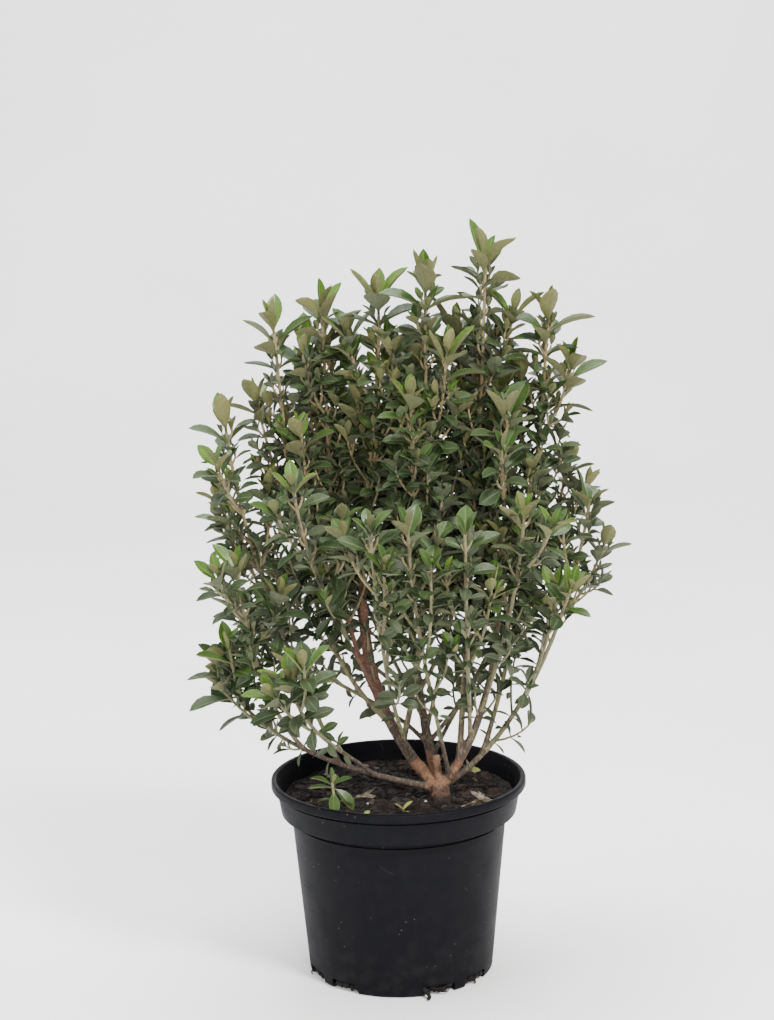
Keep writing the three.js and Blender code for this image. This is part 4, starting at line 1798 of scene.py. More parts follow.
@dataclass(frozen=True)
class RoughFinish(Finish):
    """A dull rough finish of two colours, for potting mix, chips, grit, roots and dead leaves."""

    deep: Colour
    light: Colour
    patch: float = 400.0
    rough: tuple[float, float] = (0.8, 0.98)
    relief: float = 0.0004

    def write(self, writer: MaterialWriter) -> None:
        """Adds patches of the two colours and a grain.

        Args:
            writer: The material's writer.
        """
        patches = writer.mottle(self.patch, 0.38, 0.66, 4.0)
        writer.wire(colour=writer.blend(patches, self.deep, self.light),
                    rough=writer.between(writer.mottle(self.patch * 2), *self.rough), specular=0.25)
        writer.grain(self.patch * 2.5, self.relief)


@dataclass(frozen=True)
class PotFinish(Finish):
    """Near-black moulded plastic, satin, with specks of dust, dull scuffs and dried splashes at the foot."""

    name: str = "pot_plastic"
    colour: Colour = (0.0035, 0.0036, 0.005)
    worn: Colour = (0.0041, 0.0042, 0.0056)
    dust: Colour = (0.24, 0.225, 0.2)
    splashed: float = 0.05

    def write(self, writer: MaterialWriter) -> None:
        """Adds worn plastic under a film of dust, specks and a few hairlines.

        Args:
            writer: The material's writer.
        """
        foot = writer.smooth_step(writer.height(), self.splashed, 0.0)
        wear = writer.mottle(38, 0.42, 0.75, 5.0)
        film = writer.math("MULTIPLY", writer.math("MULTIPLY_ADD", foot, 0.014, 0.004),
                           writer.mottle(120, 0.4, 0.7, 5.0))
        specks = writer.weakened(writer.group(writer.groups.specks, Scale=230.0, Size=0.1), 0.4)
        middle = writer.math("ABSOLUTE", writer.math("SUBTRACT", writer.noise(writer.place, 16.0, 1.0), 0.5))
        hairline = writer.math("MULTIPLY", writer.smooth_step(middle, 0.0022, 0.0012),
                               writer.mottle(45, 0.56, 0.66))
        colour = writer.blend(wear, self.colour, self.worn)
        for mask in (film, specks, writer.weakened(hairline, 0.1)):
            colour = writer.blend(mask, colour, self.dust)
        scuffs = writer.mottle(60.0, 0.62, 0.72, 6.0, Vector=writer.stretched(9.0))
        rough = writer.math("MULTIPLY_ADD", scuffs, 0.1, writer.between(wear, 0.52, 0.62))
        writer.wire(colour=colour, rough=writer.math("MULTIPLY_ADD", specks, 0.5, rough), specular=0.055)
        writer.grain(420.0, 0.00006, 0.5)


class Finishes:
    """Every material of the part."""

    UPPERS = {
        Age.TIP: LeafUpperFinish("leaf_tip_upper", (0.034, 0.074, 0.011), (0.084, 0.15, 0.021),
                                 (0.165, 0.22, 0.07), (0.26, 0.4), 0.05),
        Age.YOUNG: LeafUpperFinish("leaf_young_upper", (0.02, 0.043, 0.01), (0.046, 0.079, 0.018),
                                   (0.125, 0.16, 0.062), (0.28, 0.44), 0.04),
        Age.MATURE: LeafUpperFinish("leaf_mature_upper", (0.0175, 0.0325, 0.0115), (0.04, 0.062, 0.0215),
                                    (0.12, 0.14, 0.075)),
        Age.OLD: LeafUpperFinish("leaf_old_upper", (0.029, 0.04, 0.021), (0.062, 0.078, 0.04),
                                 (0.13, 0.14, 0.09), (0.4, 0.58)),
        Age.FADING: LeafUpperFinish("leaf_fading_upper", (0.13, 0.18, 0.035), (0.25, 0.28, 0.06),
                                    (0.32, 0.34, 0.12), (0.4, 0.6)),
    }
    UNDERS = {
        Age.TIP: LeafUnderFinish("leaf_tip_under", (0.088, 0.091, 0.034), (0.16, 0.158, 0.062)),
        Age.YOUNG: LeafUnderFinish("leaf_young_under", (0.076, 0.08, 0.034), (0.14, 0.141, 0.06)),
        Age.MATURE: LeafUnderFinish("leaf_mature_under", (0.055, 0.065, 0.032), (0.106, 0.119, 0.058)),
        Age.OLD: LeafUnderFinish("leaf_old_under", (0.054, 0.063, 0.037), (0.102, 0.115, 0.066)),
        Age.FADING: LeafUnderFinish("leaf_fading_under", (0.18, 0.17, 0.07), (0.28, 0.26, 0.12)),
    }

    CREAM = (0.235, 0.186, 0.086)
    BROWN = (0.07, 0.051, 0.031)
    LIMBS_AND_POT = (
        # each second colour, for low stems, is darker partly as painted shade under the crown
        FeltedStemFinish("stem_felt", CREAM, (0.112, 0.104, 0.051), BROWN, (220, 380)),
        FeltedStemFinish("twig_felt", CREAM, (0.142, 0.138, 0.06), BROWN, (210, 350)),
        BarkFinish(),
        PotFinish(),
    )
    ROUGH = (
        RoughFinish("bark_flakes", (0.09, 0.045, 0.028), (0.27, 0.145, 0.085)),
        RoughFinish("potting_mix", (0.0034, 0.0026, 0.0022), (0.0105, 0.0072, 0.0056), 500.0, relief=0.0009),
        RoughFinish("chips_dark", (0.0044, 0.0034, 0.0029), (0.0145, 0.01, 0.008)),
        RoughFinish("chips_red", (0.0105, 0.0062, 0.0046), (0.031, 0.0175, 0.0125)),
        RoughFinish("chips_tan", (0.026, 0.019, 0.0145), (0.09, 0.063, 0.046)),
        RoughFinish("grit", (0.26, 0.25, 0.23), (0.5, 0.48, 0.45), 600.0),
        RoughFinish("roots", (0.003, 0.0026, 0.0023), (0.0125, 0.0095, 0.0074)),
        RoughFinish("dead_leaf", (0.13, 0.1, 0.068), (0.36, 0.31, 0.23), 300.0, (0.6, 0.85), 0.0002),
    )

    def __init__(self, groups: SurfaceGroups) -> None:
        """Builds every material.

        Args:
            groups: The shared shader groups.
        """
        self.upper = {age: finish.material(groups) for age, finish in self.UPPERS.items()}
        self.under = {age: finish.material(groups) for age, finish in self.UNDERS.items()}
        self.stem, self.twig, self.bark, self.pot = (finish.material(groups) for finish in self.LIMBS_AND_POT)
        self.rough = {finish.name: finish.material(groups) for finish in self.ROUGH}


# Leaves

@dataclass(frozen=True)
class LeafShape:
    """A leaf of length 1 along +Y with its upper side towards +Z.

    Sizes are shares of its length, and angles are in degrees: `cup` raises its halves, `arch` bends it away
    from its upper side from root to tip, and `twist` turns its tip.
    """

    name: str
    width: float
    cup: float
    arch: float
    twist: float
    small: bool = False

    FINE_ROWS = (0.0, 0.11, 0.21, 0.36, 0.54, 0.72, 0.88)
    SMALL_ROWS = (0.0, 0.12, 0.34, 0.64, 0.88)
    STALK = 0.11
    STALK_WIDTH = 0.027
    FULLEST = 1.1
    BLUNT = 0.8
    THICK = 0.024
    MIDRIB = 0.026
    MIDRIB_WIDTH = 0.25
    GROOVE = 0.007
    EDGE_ROLL = 0.05

    def half_width(self, share: float) -> float:
        """Returns half of the blade's width at a fraction of its length.

        Args:
            share: The fraction of the leaf's length.

        Returns:
            The half width.
        """
        if share <= self.STALK:
            return self.STALK_WIDTH
        along = (share - self.STALK) / (1 - self.STALK)
        swelling = math.sin(math.pi * along**self.FULLEST) ** self.BLUNT
        return max(self.STALK_WIDTH, 0.5 * self.width * swelling)

    def point(self, share: float, centre: np.ndarray, lean: float, column: float, depth: float) -> np.ndarray:
        """Finds a point of the leaf's skin.

        Args:
            share: The fraction of the leaf's length.
            centre: The middle line's place there.
            lean: The middle line's angle below level there, in radians.
            column: From -1 at the left edge to 1 at the right edge.
            depth: How far it lies below the upper side.

        Returns:
            The point.
        """
        half = self.half_width(share)
        cup = math.radians(self.cup)
        sideways = half * column * math.cos(cup)
        lift = half * math.sin(cup) * abs(column) ** 1.5 - depth - self.EDGE_ROLL * half * column**6
        twist = math.radians(self.twist) * share
        across = sideways * math.cos(twist) - lift * math.sin(twist)
        above = sideways * math.sin(twist) + lift * math.cos(twist)
        return centre + np.array([across, above * math.sin(lean), above * math.cos(lean)])

    def midline(self) -> list[tuple[float, np.ndarray, float]]:
        """Follows the leaf's middle line, which bends evenly.

        Returns:
            The fraction, the place and the angle below level of each row, the tip's last.
        """
        rows = []
        centre, last = np.zeros(3), 0.0
        for share in (*(self.SMALL_ROWS if self.small else self.FINE_ROWS), 1.0):
            lean = math.radians(self.arch) * (share + last) / 2
            centre = centre + (share - last) * np.array([0.0, math.cos(lean), -math.sin(lean)])
            rows.append((share, centre, math.radians(self.arch) * share))
            last = share
        return rows

    def mesh(self) -> Mesh:
        """Builds the leaf as a thin closed mesh, with its underside marked and its edge sharp.

        Returns:
            The mesh, of length 1 in metres.
        """
        columns = (-1.0, 0.0, 1.0) if self.small else (-1.0, -0.5, 0.0, 0.5, 1.0)
        inner = columns[1:-1]
        *rows, (_, tip, _) = self.midline()
        points: list[np.ndarray] = []
        upper, lower, across = [], [], []
        for share, centre, lean in rows:
            upper.append([len(points) + k for k in range(len(columns))])
            for column in columns:
                groove = self.GROOVE if column == 0 and share > self.STALK else 0.0
                points.append(self.point(share, centre, lean, column, groove))
            lower.append([upper[-1][0], *(len(points) + k for k in range(len(inner))), upper[-1][-1]])
            for column in inner:
                midrib = self.MIDRIB * math.exp(-((column / self.MIDRIB_WIDTH) ** 2)) * (1 - 0.6 * share)
                points.append(self.point(share, centre, lean, column, self.THICK + midrib))
            across += [abs(column) for column in (*columns, *inner)]
        mesh = self.skin(np.array([*points, tip]), upper, lower)
        set_values(mesh, "across", np.array([*across, 0.5]))
        return mesh

    def skin(self, points: np.ndarray, upper: list, lower: list) -> Mesh:
        """Joins the rows of points into faces.

        Args:
            points: All the points, the tip last.
            upper: Rows of point numbers of the upper side.
            lower: Rows of point numbers of the underside, which share the edges.

        Returns:
            The mesh, of length 1 in metres.
        """
        tip, last = len(points) - 1, len(upper[0]) - 1
        faces = []
        for row, (top, back) in enumerate(zip(upper, lower)):
            for k in range(last):
                above, below = [tip], [tip]
                if row + 1 < len(upper):
                    above = [upper[row + 1][k + 1], upper[row + 1][k]]
                    below = [lower[row + 1][k], lower[row + 1][k + 1]]
                faces += [[top[k], top[k + 1], *above], [back[k + 1], back[k], *below]]
        faces.append([*upper[0][::-1], *lower[0][1:-1]])
        mesh = mesh_of(self.name, points / MM, faces)
        under = [number % 2 == 1 for number in range(len(faces) - 1)] + [True]
        set_values(mesh, "underside", np.array(under), "BOOLEAN", "FACE")
        rim = {frozenset((a[k], b[k])) for a, b in zip(upper, upper[1:]) for k in (0, last)}
        rim |= {frozenset((upper[-1][k], tip)) for k in (0, last)}
        sharp = [frozenset(edge.vertices) in rim for edge in mesh.edges]
        set_values(mesh, "sharp_edge", np.array(sharp), "BOOLEAN", "EDGE")
        return mesh


LEAF_SHAPES = (
    LeafShape("leaf_0_erect", 0.44, 26, -10, 3),
    LeafShape("leaf_1_open", 0.48, 22, 12, -6),
    LeafShape("leaf_2_arched", 0.48, 20, 38, 8),
    LeafShape("leaf_3_flat", 0.51, 13, 20, -4),
    LeafShape("leaf_4_broad", 0.56, 18, 28, 6),
    LeafShape("leaf_5_narrow", 0.43, 26, 32, -12),
    LeafShape("leaf_6_small", 0.45, 22, 16, 4, small=True),
    LeafShape("leaf_7_small_narrow", 0.38, 26, 30, -8, small=True),
    LeafShape("leaf_8_curled", 0.2, 68, 70, 70),
    LeafShape("leaf_9_rolled", 0.22, 65, -50, -60),
)
SMALL_SHAPES = (6, 7)
DRY_SHAPES = (8, 9)


def shape_collection(name: str, meshes: list[Mesh]) -> Collection:
    """Gathers shapes for the node trees in a collection that isn't part of the scene.

    Args:
        name: The collection's name.
        meshes: The shapes.

    Returns:
        The collection.
    """
    collection = bpy.data.collections.new(name)
    for mesh in meshes:
        placed(mesh, collection)
    return collection


def clear_shapes(collection: Collection) -> None:
    """Removes a collection of shapes once the node trees have used it.

    Args:
        collection: The collection.
    """
    for thing in list(collection.objects):
        remove(thing)
    bpy.data.collections.remove(collection)


@dataclass
class Dresser:
    """Attaches each finished piece to the body, hides its solids and counts its triangles."""

    count: int = 0

    def finish(self, piece: Object, slot: str, *solids: str) -> None:
        """Gives a piece its body and hides the solids that it stands for.

        Args:
            piece: The finished object, at the origin.
            slot: The record's material slot, which is not used.
            solids: The solids that it stands for.
        """
        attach(piece, BODY)
        if solids:
            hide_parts(*solids)
        piece.data.calc_loop_triangles()
        self.count += len(piece.data.loop_triangles)
        LOG.info("%s: %d triangles", piece.name, len(piece.data.loop_triangles))


# Limbs

@dataclass
class Limbs:
    """The trunk, the boughs, the stems and the twigs, with sizes in millimetres.

    A limb is a little slimmer than its solid where it is thin. `STOUT_FROM` and `STOUT_TO` say between which
    heights the old stem is stouter, and the stages of bark are those of `BarkFinish`.
    """

    bush: Bush
    finishes: Finishes
    dresser: Dresser
    voxel: float = 0.62
    trunk_sides: int = 40
    trunk_bands: int = 15
    sunk: float = 2.5
    overlap: float = 6.0

    BURIED, ROOT_SPREAD = 0.2, 4.0
    TRUNK_SIDEWAYS = (0.1, 1.0, 0.0)
    TRUNK_CLOSING, TRUNK_CLOSED_BY = (0.85, 1.0), 0.45
    BARK_STEP, GREEN_STEP = 3.0, 4.0
    STEM_TIP, STEM_TAPER, STEM_HIDDEN = 0.95, 0.8, 0.12
    THIN = Grade(1.9, 3.0, 0.84, 1.0)
    STOUT_FROM, STOUT_TO = Grade(160, 190), Grade(235, 288, 1.0, 0.0)
    COLLAR, COLLAR_LENGTH = 0.22, 4.0
    ORANGE, RED, BROWN = 1.0, 0.65, 0.35
    TRUNK_STAGE = Grade(121, 132, 0.6, 1.0)
    ORANGE_GIRTH, ORANGE_TOP = Grade(2.2, 2.9), Grade(140, 156, 1.0, 0.0)
    RED_FOOT, RED_FADE = Grade(162, 182), 16.0
    BROWN_FADE = 18.0

    def __post_init__(self) -> None:
        """Makes the tree that sweeps limbs along lines."""
        self.tree = limb_tree()

    def sweep(self, name: str, lines: list[Line], finish: Material,
              slot: str, *solids: str, **values: object) -> None:
        """Builds a piece of round limbs, attaches it to the body and hides its solids.

        Args:
            name: The piece's name.
            lines: Points and radii of each limb.
            finish: Its material.
            slot: The record's material slot.
            solids: The solids that it stands for.
            values: Other inputs of the limb tree.
        """
        piece = grown(self.line_mesh(name, lines), self.tree, values | {"Finish": finish})
        self.dresser.finish(piece, slot, *solids)

    def trunk_mesh(self) -> Mesh:
        """Builds the trunk's lobed rings, from below the soil to the fork.

        Returns:
            The mesh.
        """
        curve = self.bush.trunk.curve()
        points = []
        for share in (-self.BURIED, *np.linspace(0, 1, self.trunk_bands)):
            up, down = max(share, 0), min(share, 0)
            centre = curve.point(up) + UP * (self.sunk * down / self.BURIED)
            along = curve.tangent(up)
            normal = unit(np.cross(along, self.TRUNK_SIDEWAYS))
            across = np.cross(along, normal)
            for k in range(self.trunk_sides):
                angle = 2 * math.pi * k / self.trunk_sides
                radius = self.bush.trunk.radius(up, angle) - self.ROOT_SPREAD * down
                radius *= 1 - self.TRUNK_CLOSED_BY * ramp(share, *self.TRUNK_CLOSING)
                points.append(centre + radius * (normal * math.cos(angle) + across * math.sin(angle)))
        return mesh_of("trunk_block", np.array(points), capped_faces(0, self.trunk_sides, self.trunk_bands))

    @staticmethod
    def line_mesh(name: str, lines: list[Line]) -> Mesh:
        """Makes a mesh of lines with a girth at each point.

        Args:
            name: The mesh's name.
            lines: Points and radii, in millimetres, of each line.

        Returns:
            A mesh of edges for the limb tree.
        """
        edges, first = [], 0
        for line, _ in lines:
            edges += [(first + k, first + k + 1) for k in range(len(line) - 1)]
            first += len(line)
        mesh = mesh_of(name, np.concatenate([line for line, _ in lines]), [], edges)
        set_values(mesh, "girth", np.concatenate([radii for _, radii in lines]) * MM)
        return mesh

    def bark_end(self, cane: Cane) -> float:
        """Returns the fraction of a cane at which its bark ends."""
        return self.bush.share_at(cane.curve, max(cane.row.bark_top, cane.row.leafy))

    def bough_line(self, cane: Cane) -> Line:
        """Returns a bough's points and radii, a little swollen where it leaves its parent.

        Args:
            cane: The bough's cane.

        Returns:
            Its points and radii.
        """
        end, length = self.bark_end(cane), cane.curve.length()
        shares = np.linspace(0.0, end, max(10, int(length * end / self.BARK_STEP)))
        collar = 1 + self.COLLAR * np.exp(-(shares * length) / self.COLLAR_LENGTH)
        points = cane.curve.points(shares)
        radii = np.array([self.slender(max(cane.radius(share), Bush.STEM_GIRTH)) for share in shares])
        middle = np.array([self.STOUT_FROM.at(height) * self.STOUT_TO.at(height) for height in points[:, 2]])
        return points, radii * collar + cane.row.stout * middle

    def slender(self, radius: float) -> float:
        """Returns a limb's radius under its leaves, a little less than its solid's where it is thin."""
        return radius * self.THIN.at(radius)

    def stem_radius(self, cane: Cane, share: float) -> float:
        """Returns the radius of a cane's green stem, which thins towards its tip.

        Args:
            cane: The cane.
            share: The fraction of its line.

        Returns:
            The radius.
        """
        end = self.bark_end(cane)
        thick = self.slender(max(cane.radius(end), Bush.STEM_GIRTH))
        along = max(0.0, (share - end) / (1 - end))
        return lerp(thick, self.STEM_TIP, along**self.STEM_TAPER)

    def build_bark(self) -> None:
        """Builds the trunk and the boughs as one mesh with the bark's relief."""
        trunk = self.bush.trunk
        stub = Bezier(trunk.curve().point(trunk.stub_at), trunk.stub_tip)
        shares = np.linspace(0, 1, 12)
        lines = [(stub.points(shares), lerp(*trunk.stub_girths, shares))]
        lines += [self.bough_line(cane) for cane in self.bush.canes]
        tubes = grown(self.line_mesh("bough_tubes", lines), self.tree, {"Sides": 20, "Unevenness": 0.0})
        fused = self.fused([tubes, placed(self.trunk_mesh())])
        mesh = fused.data
        bpy.data.objects.remove(fused)
        mesh.name = "trunk_and_boughs"
        self.mark_bark(mesh, lines)
        piece = grown(mesh, relief_tree(), {
            "Ridge Depth": 0.42, "Ridge Grain": 800.0, "Swell Depth": 0.42, "Swell Grain": 190.0,
            "Finish": self.finishes.bark,
        })
        self.dresser.finish(piece, "bark", "trunk", *self.bush.solids("bough"))
        self.build_flakes(piece)

    def fused(self, things: list[Object]) -> Object:
        """Joins closed meshes into one skin by a voxel remesh, and smooths it.

        Args:
            things: The closed objects, which are used up.

        Returns:
            The joined object.
        """
        with bpy.context.temp_override(active_object=things[0], selected_editable_objects=things):
            bpy.ops.object.join()
        source = things[0]
        remesh = source.modifiers.new("fuse", "REMESH")
        remesh.mode = "VOXEL"
        remesh.voxel_size = self.voxel * MM
        soften = source.modifiers.new("soften", "SMOOTH")
        soften.factor = 0.5
        soften.iterations = 3
        return plain_copy(source, "fused_limbs")

    def bark_stage(self, row: CaneRow | None, height: float, girth: float) -> float:
        """Returns a limb's bark stage at a height: 0 for green-tan, and up through brown and red to orange.

        Args:
            row: The cane, or None for the trunk and its stub.
            height: The height above the ground.
            girth: The limb's radius there.

        Returns:
            The stage.
        """
        if row is None:
            return self.TRUNK_STAGE.at(height)
        orange = self.ORANGE_GIRTH.at(girth) * self.ORANGE_TOP.at(height)
        red_top = Grade(row.bark_top - self.RED_FADE, row.bark_top, 1.0, 0.0)
        red = self.RED_FOOT.at(height) * red_top.at(height) if row.bark_top else 0.0
        brown_top = Grade(row.brown_top - self.BROWN_FADE, row.brown_top + self.BROWN_FADE, 1.0, 0.0)
        return max(self.ORANGE * orange, self.RED * red, self.BROWN * brown_top.at(height))

    def mark_bark(self, mesh: Mesh, lines: list[Line]) -> None:
        """Writes each vertex's girth and the stage of its bark, from the limb that is nearest.

        Args:
            mesh: The fused skin.
            lines: Points and radii of the stub and the boughs.
        """
        lines = [*lines, (self.bush.trunk.curve().samples(0, 12), np.full(13, 7.0))]
        owners = [None, *(cane.row for cane in self.bush.canes), None]
        rows = [row for row, (line, _) in zip(owners, lines) for _ in line]
        girths = np.concatenate([radii for _, radii in lines])
        tree = spot_tree(np.concatenate([line for line, _ in lines]))
        girth, stage = [], []
        for vertex in mesh.vertices:
            place = vertex.co / MM
            _, index, _ = tree.find(place)
            girth.append(girths[index] * MM)
            stage.append(self.bark_stage(rows[index], place.z, girths[index]))
        set_values(mesh, "girth", np.array(girth))
        set_values(mesh, "bark_stage", np.array(stage))

    def build_flakes(self, bark: Object) -> None:
        """Strews curled flakes of peeling bark over the oldest limbs.

        Args:
            bark: The finished trunk and boughs.
        """
        surface = bark.data.copy()
        surface.name = "bark_flakes"
        stage = np.empty(len(surface.vertices))
        surface.attributes["bark_stage"].data.foreach_get("value", stage)
        set_values(surface, "strewn", np.clip((stage - 0.7) * 4, 0, 1))
        shapes = shape_collection("flakes", [self.flake_mesh(k) for k in range(STREWN_SHAPES)])
        piece = grown(surface, scatter_tree(), {
            "Shapes": shapes, "Density": 15000.0, "Seed": 4, "Smallest": 0.0014, "Largest": 0.0042,
            "Tilt": 0.25, "Finish": self.finishes.rough["bark_flakes"],
        })
        clear_shapes(shapes)
        self.dresser.finish(piece, "bark")

    @staticmethod
    def flake_mesh(seed: int) -> Mesh:
        """Builds one thin curled flake, about 1 long, that lies along X.

        Args:
            seed: The flake's number.

        Returns:
            The mesh.
        """
        random = Seeded(700 + seed)
        width, curl, thick = random.varied(0.25, 0.3), random.varied(0.1, 0.3), 0.035
        points = []
        for lift, x, side in product((0.0, thick), (-0.5, -0.17, 0.17, 0.5), (-1, 1)):
            y = side * width * random.varied(0.35, 0.3) * (1.1 - abs(x))
            points.append((x, y, lift + curl * (abs(x) * 1.6) ** 2 * random.varied(0.7, 0.6)))
        faces = []
        for a in (0, 2, 4):
            faces += [[a, a + 1, a + 3, a + 2], [a + 8, a + 10, a + 11, a + 9]]
            faces += [[a, a + 2, a + 10, a + 8], [a + 1, a + 9, a + 11, a + 3]]
        faces += [[0, 8, 9, 1], [6, 7, 15, 14]]
        return mesh_of(f"flake_{seed}", np.array(points) / MM, faces)

    def build_green(self) -> None:
        """Builds the stems and twigs that carry the leaves."""
        stems = []
        for cane in self.bush.canes:
            end, length = self.bark_end(cane), cane.curve.length()
            start = max(0.0, end - self.overlap / length)
            shares = np.linspace(start, 1, max(12, int(length * (1 - start) / self.GREEN_STEP)))
            radii = np.array([self.stem_radius(cane, share) for share in shares])
            radii[shares < end] -= self.STEM_HIDDEN
            stems.append((cane.curve.points(shares), self.knobbly(radii)))
        twigs = []
        for shoot in self.bush.shoots:
            if shoot.rank is not Rank.STEM:
                shares = np.linspace(0, 1, 18 if shoot.rank is Rank.SIDE else 6)
                radii = np.array([shoot.radius(share) for share in shares])
                twigs.append((shoot.curve.points(shares), radii))
        masses = self.bush.solids("foliage")
        self.sweep("stems", stems, self.finishes.stem, "foliage", *masses,
                   Sides=10, Unevenness=0.35, Grain=420.0)
        self.sweep("twigs", twigs, self.finishes.twig, "foliage", *masses,
                   Sides=7, Unevenness=0.3, Grain=500.0)

    @staticmethod
    def knobbly(radii: np.ndarray) -> np.ndarray:
        """Returns radii with a low swelling at every third point, where old leaves stood."""
        return radii * np.where(np.arange(len(radii)) % 3 == 1, 1.1, 1.0)


# Foliage

@dataclass
class Foliage:
    """All the leaves, in pieces by age."""

    bush: Bush
    finishes: Finishes
    dresser: Dresser
    most: int = 1500

    @staticmethod
    def point_mesh(name: str, leaves: list[Leaf]) -> Mesh:
        """Makes a mesh of points with the attributes that the spray tree reads.

        Args:
            name: The mesh's name.
            leaves: The leaves, one for each point.

        Returns:
            The mesh.
        """
        mesh = mesh_of(name, np.array([leaf.root for leaf in leaves]), [])
        set_values(mesh, "along", np.array([leaf.along for leaf in leaves]), "FLOAT_VECTOR")
        set_values(mesh, "upper", np.array([leaf.upper for leaf in leaves]), "FLOAT_VECTOR")
        set_values(mesh, "size", np.array([leaf.length for leaf in leaves]) * MM)
        set_values(mesh, "shape", np.array([leaf.shape for leaf in leaves]), "INT")
        set_values(mesh, "tone", np.array([leaf.tone for leaf in leaves]))
        return mesh

    def build(self) -> None:
        """Builds every piece of leaves, the sprout's and the dead ones on the soil."""
        rows = []
        for age in Age:
            leaves = [leaf for leaf in self.bush.leaves if leaf.age is age]
            pieces = max(1, math.ceil(len(leaves) / self.most))
            rows += [(f"leaves_{age.value}_{k + 1}", leaves[k::pieces], age, self.bush.solids("foliage"))
                     for k in range(pieces)]
        rows.append(("sprout_leaves", Sprout().leaves(), Age.YOUNG, ["sprout"]))
        rows.append(("dead_leaves", DeadLeaves().leaves(), None, []))
        rows.append(("yellow_leaves", DeadLeaves().yellow_leaves(), Age.FADING, []))
        tree = spray_tree()
        shapes = shape_collection("leaf shapes", [shape.mesh() for shape in LEAF_SHAPES])
        dead = self.finishes.rough["dead_leaf"]
        for name, leaves, age, solids in rows:
            piece = grown(self.point_mesh(name, leaves), tree, {
                "Leaf Shapes": shapes, "Upper Finish": self.finishes.upper.get(age, dead),
                "Under Finish": self.finishes.under.get(age, dead),
            })
            self.dresser.finish(piece, "foliage", *solids)
        clear_shapes(shapes)


@dataclass(frozen=True)
class Sprout:
    """The young shoot that comes up through the soil at the left front."""

    foot: tuple[float, float] = (-40, -60)
    lean: tuple[float, float] = (-2, 7)
    height: float = 25.0
    girths: tuple[float, float] = (1.2, 0.8)
    placed_leaves: tuple[tuple[float, float, float, float], ...] = (
        (0.98, 110, 70, 10), (0.97, 300, 58, 8), (0.95, 12, 22, 13), (0.94, 168, 30, 15),
        (0.9, 334, -30, 20), (0.9, 196, 8, 16), (0.86, 276, -58, 18), (0.86, 84, 14, 15),
        (0.6, 350, -6, 13), (0.6, 160, 2, 12),
    )

    def curve(self) -> Bezier:
        """Returns the sprout's line, from just below the soil."""
        foot = np.array([*self.foot, SOIL_TOP - 1])
        return Bezier(foot, foot + [0, 0, 0.5 * self.height], foot + [*self.lean, self.height])

    def stem(self) -> Line:
        """Returns the points and radii of its stem."""
        shares = np.linspace(0, 1, 10)
        return self.curve().points(shares), lerp(*self.girths, shares)

    def leaves(self) -> list[Leaf]:
        """Returns the shoot's leaves, each by its place on the stem, its bearing, its rise and its length.

        Returns:
            The leaves.
        """
        curve = self.curve()
        random = Seeded(77)
        leaves = []
        for number, (share, bearing, rise, length) in enumerate(self.placed_leaves):
            angle = math.radians(rise)
            direction = level(bearing) * math.cos(angle) + UP * math.sin(angle)
            upper = UP * math.cos(angle) - level(bearing) * math.sin(angle)
            upper = spun(upper, direction, random.around(50))
            root = curve.point(share) + 0.4 * direction
            leaves.append(Leaf(root, direction, upper, length, (0, 0, 1, 5, 2, 1)[number % 6], random.draw(),
                               Age.TIP))
        return leaves


@dataclass(frozen=True)
class DeadLeaves:
    """The leaves that have dropped on the soil: place, bearing, tilt and length of each."""

    dry: tuple[tuple[float, ...], ...] = (
        (40, -38, 26, 12, 33), (66, -30, 186, 3, 24), (-28, -12, 20, 5, 24), (-32, -18, 8, 3, 20),
        (34, -46, 62, 6, 11), (56, -12, 250, 3, 14), (-46, 30, 100, 4, 19), (18, 46, 20, 5, 20),
        (-20, 55, 150, 3, 17), (52, 34, 130, 3, 16), (-58, -24, 60, 4, 12), (2, -60, 190, 3, 11),
    )
    yellow: tuple[tuple[float, ...], ...] = (
        (2, -44, 35, 38, 10), (4, -46, 150, 46, 9), (3, -45, 285, 24, 11), (-19, -42, 260, 12, 11),
        (44, 38, 10, 5, 12),
    )
    lift: float = 1.4

    def set_down(self, rows: tuple, seed: int, shapes: tuple[int, int]) -> list[Leaf]:
        """Sets leaves down on the soil.

        Args:
            rows: Place, bearing, tilt and length of each leaf.
            seed: The seed of their turn and tone.
            shapes: The two shapes that they have by turns.

        Returns:
            The leaves.
        """
        random = Seeded(seed)
        leaves = []
        for number, (x, y, bearing, tilt, length) in enumerate(rows):
            flat = level(bearing)
            angle = math.radians(tilt)
            along = flat * math.cos(angle) + UP * math.sin(angle)
            upper = spun(unit(UP - along * along[2]), along, random.around(90))
            root = np.array([x, y, SOIL_TOP + self.lift])
            leaves.append(Leaf(root, along, upper, length, shapes[number % 2], random.draw(), Age.FADING))
        return leaves

    def leaves(self) -> list[Leaf]:
        """Returns the dry leaves."""
        return self.set_down(self.dry, 31, DRY_SHAPES)

    def yellow_leaves(self) -> list[Leaf]:
        """Returns the yellow-green ones."""
        return self.set_down(self.yellow, 57, SMALL_SHAPES)


# Pot and soil

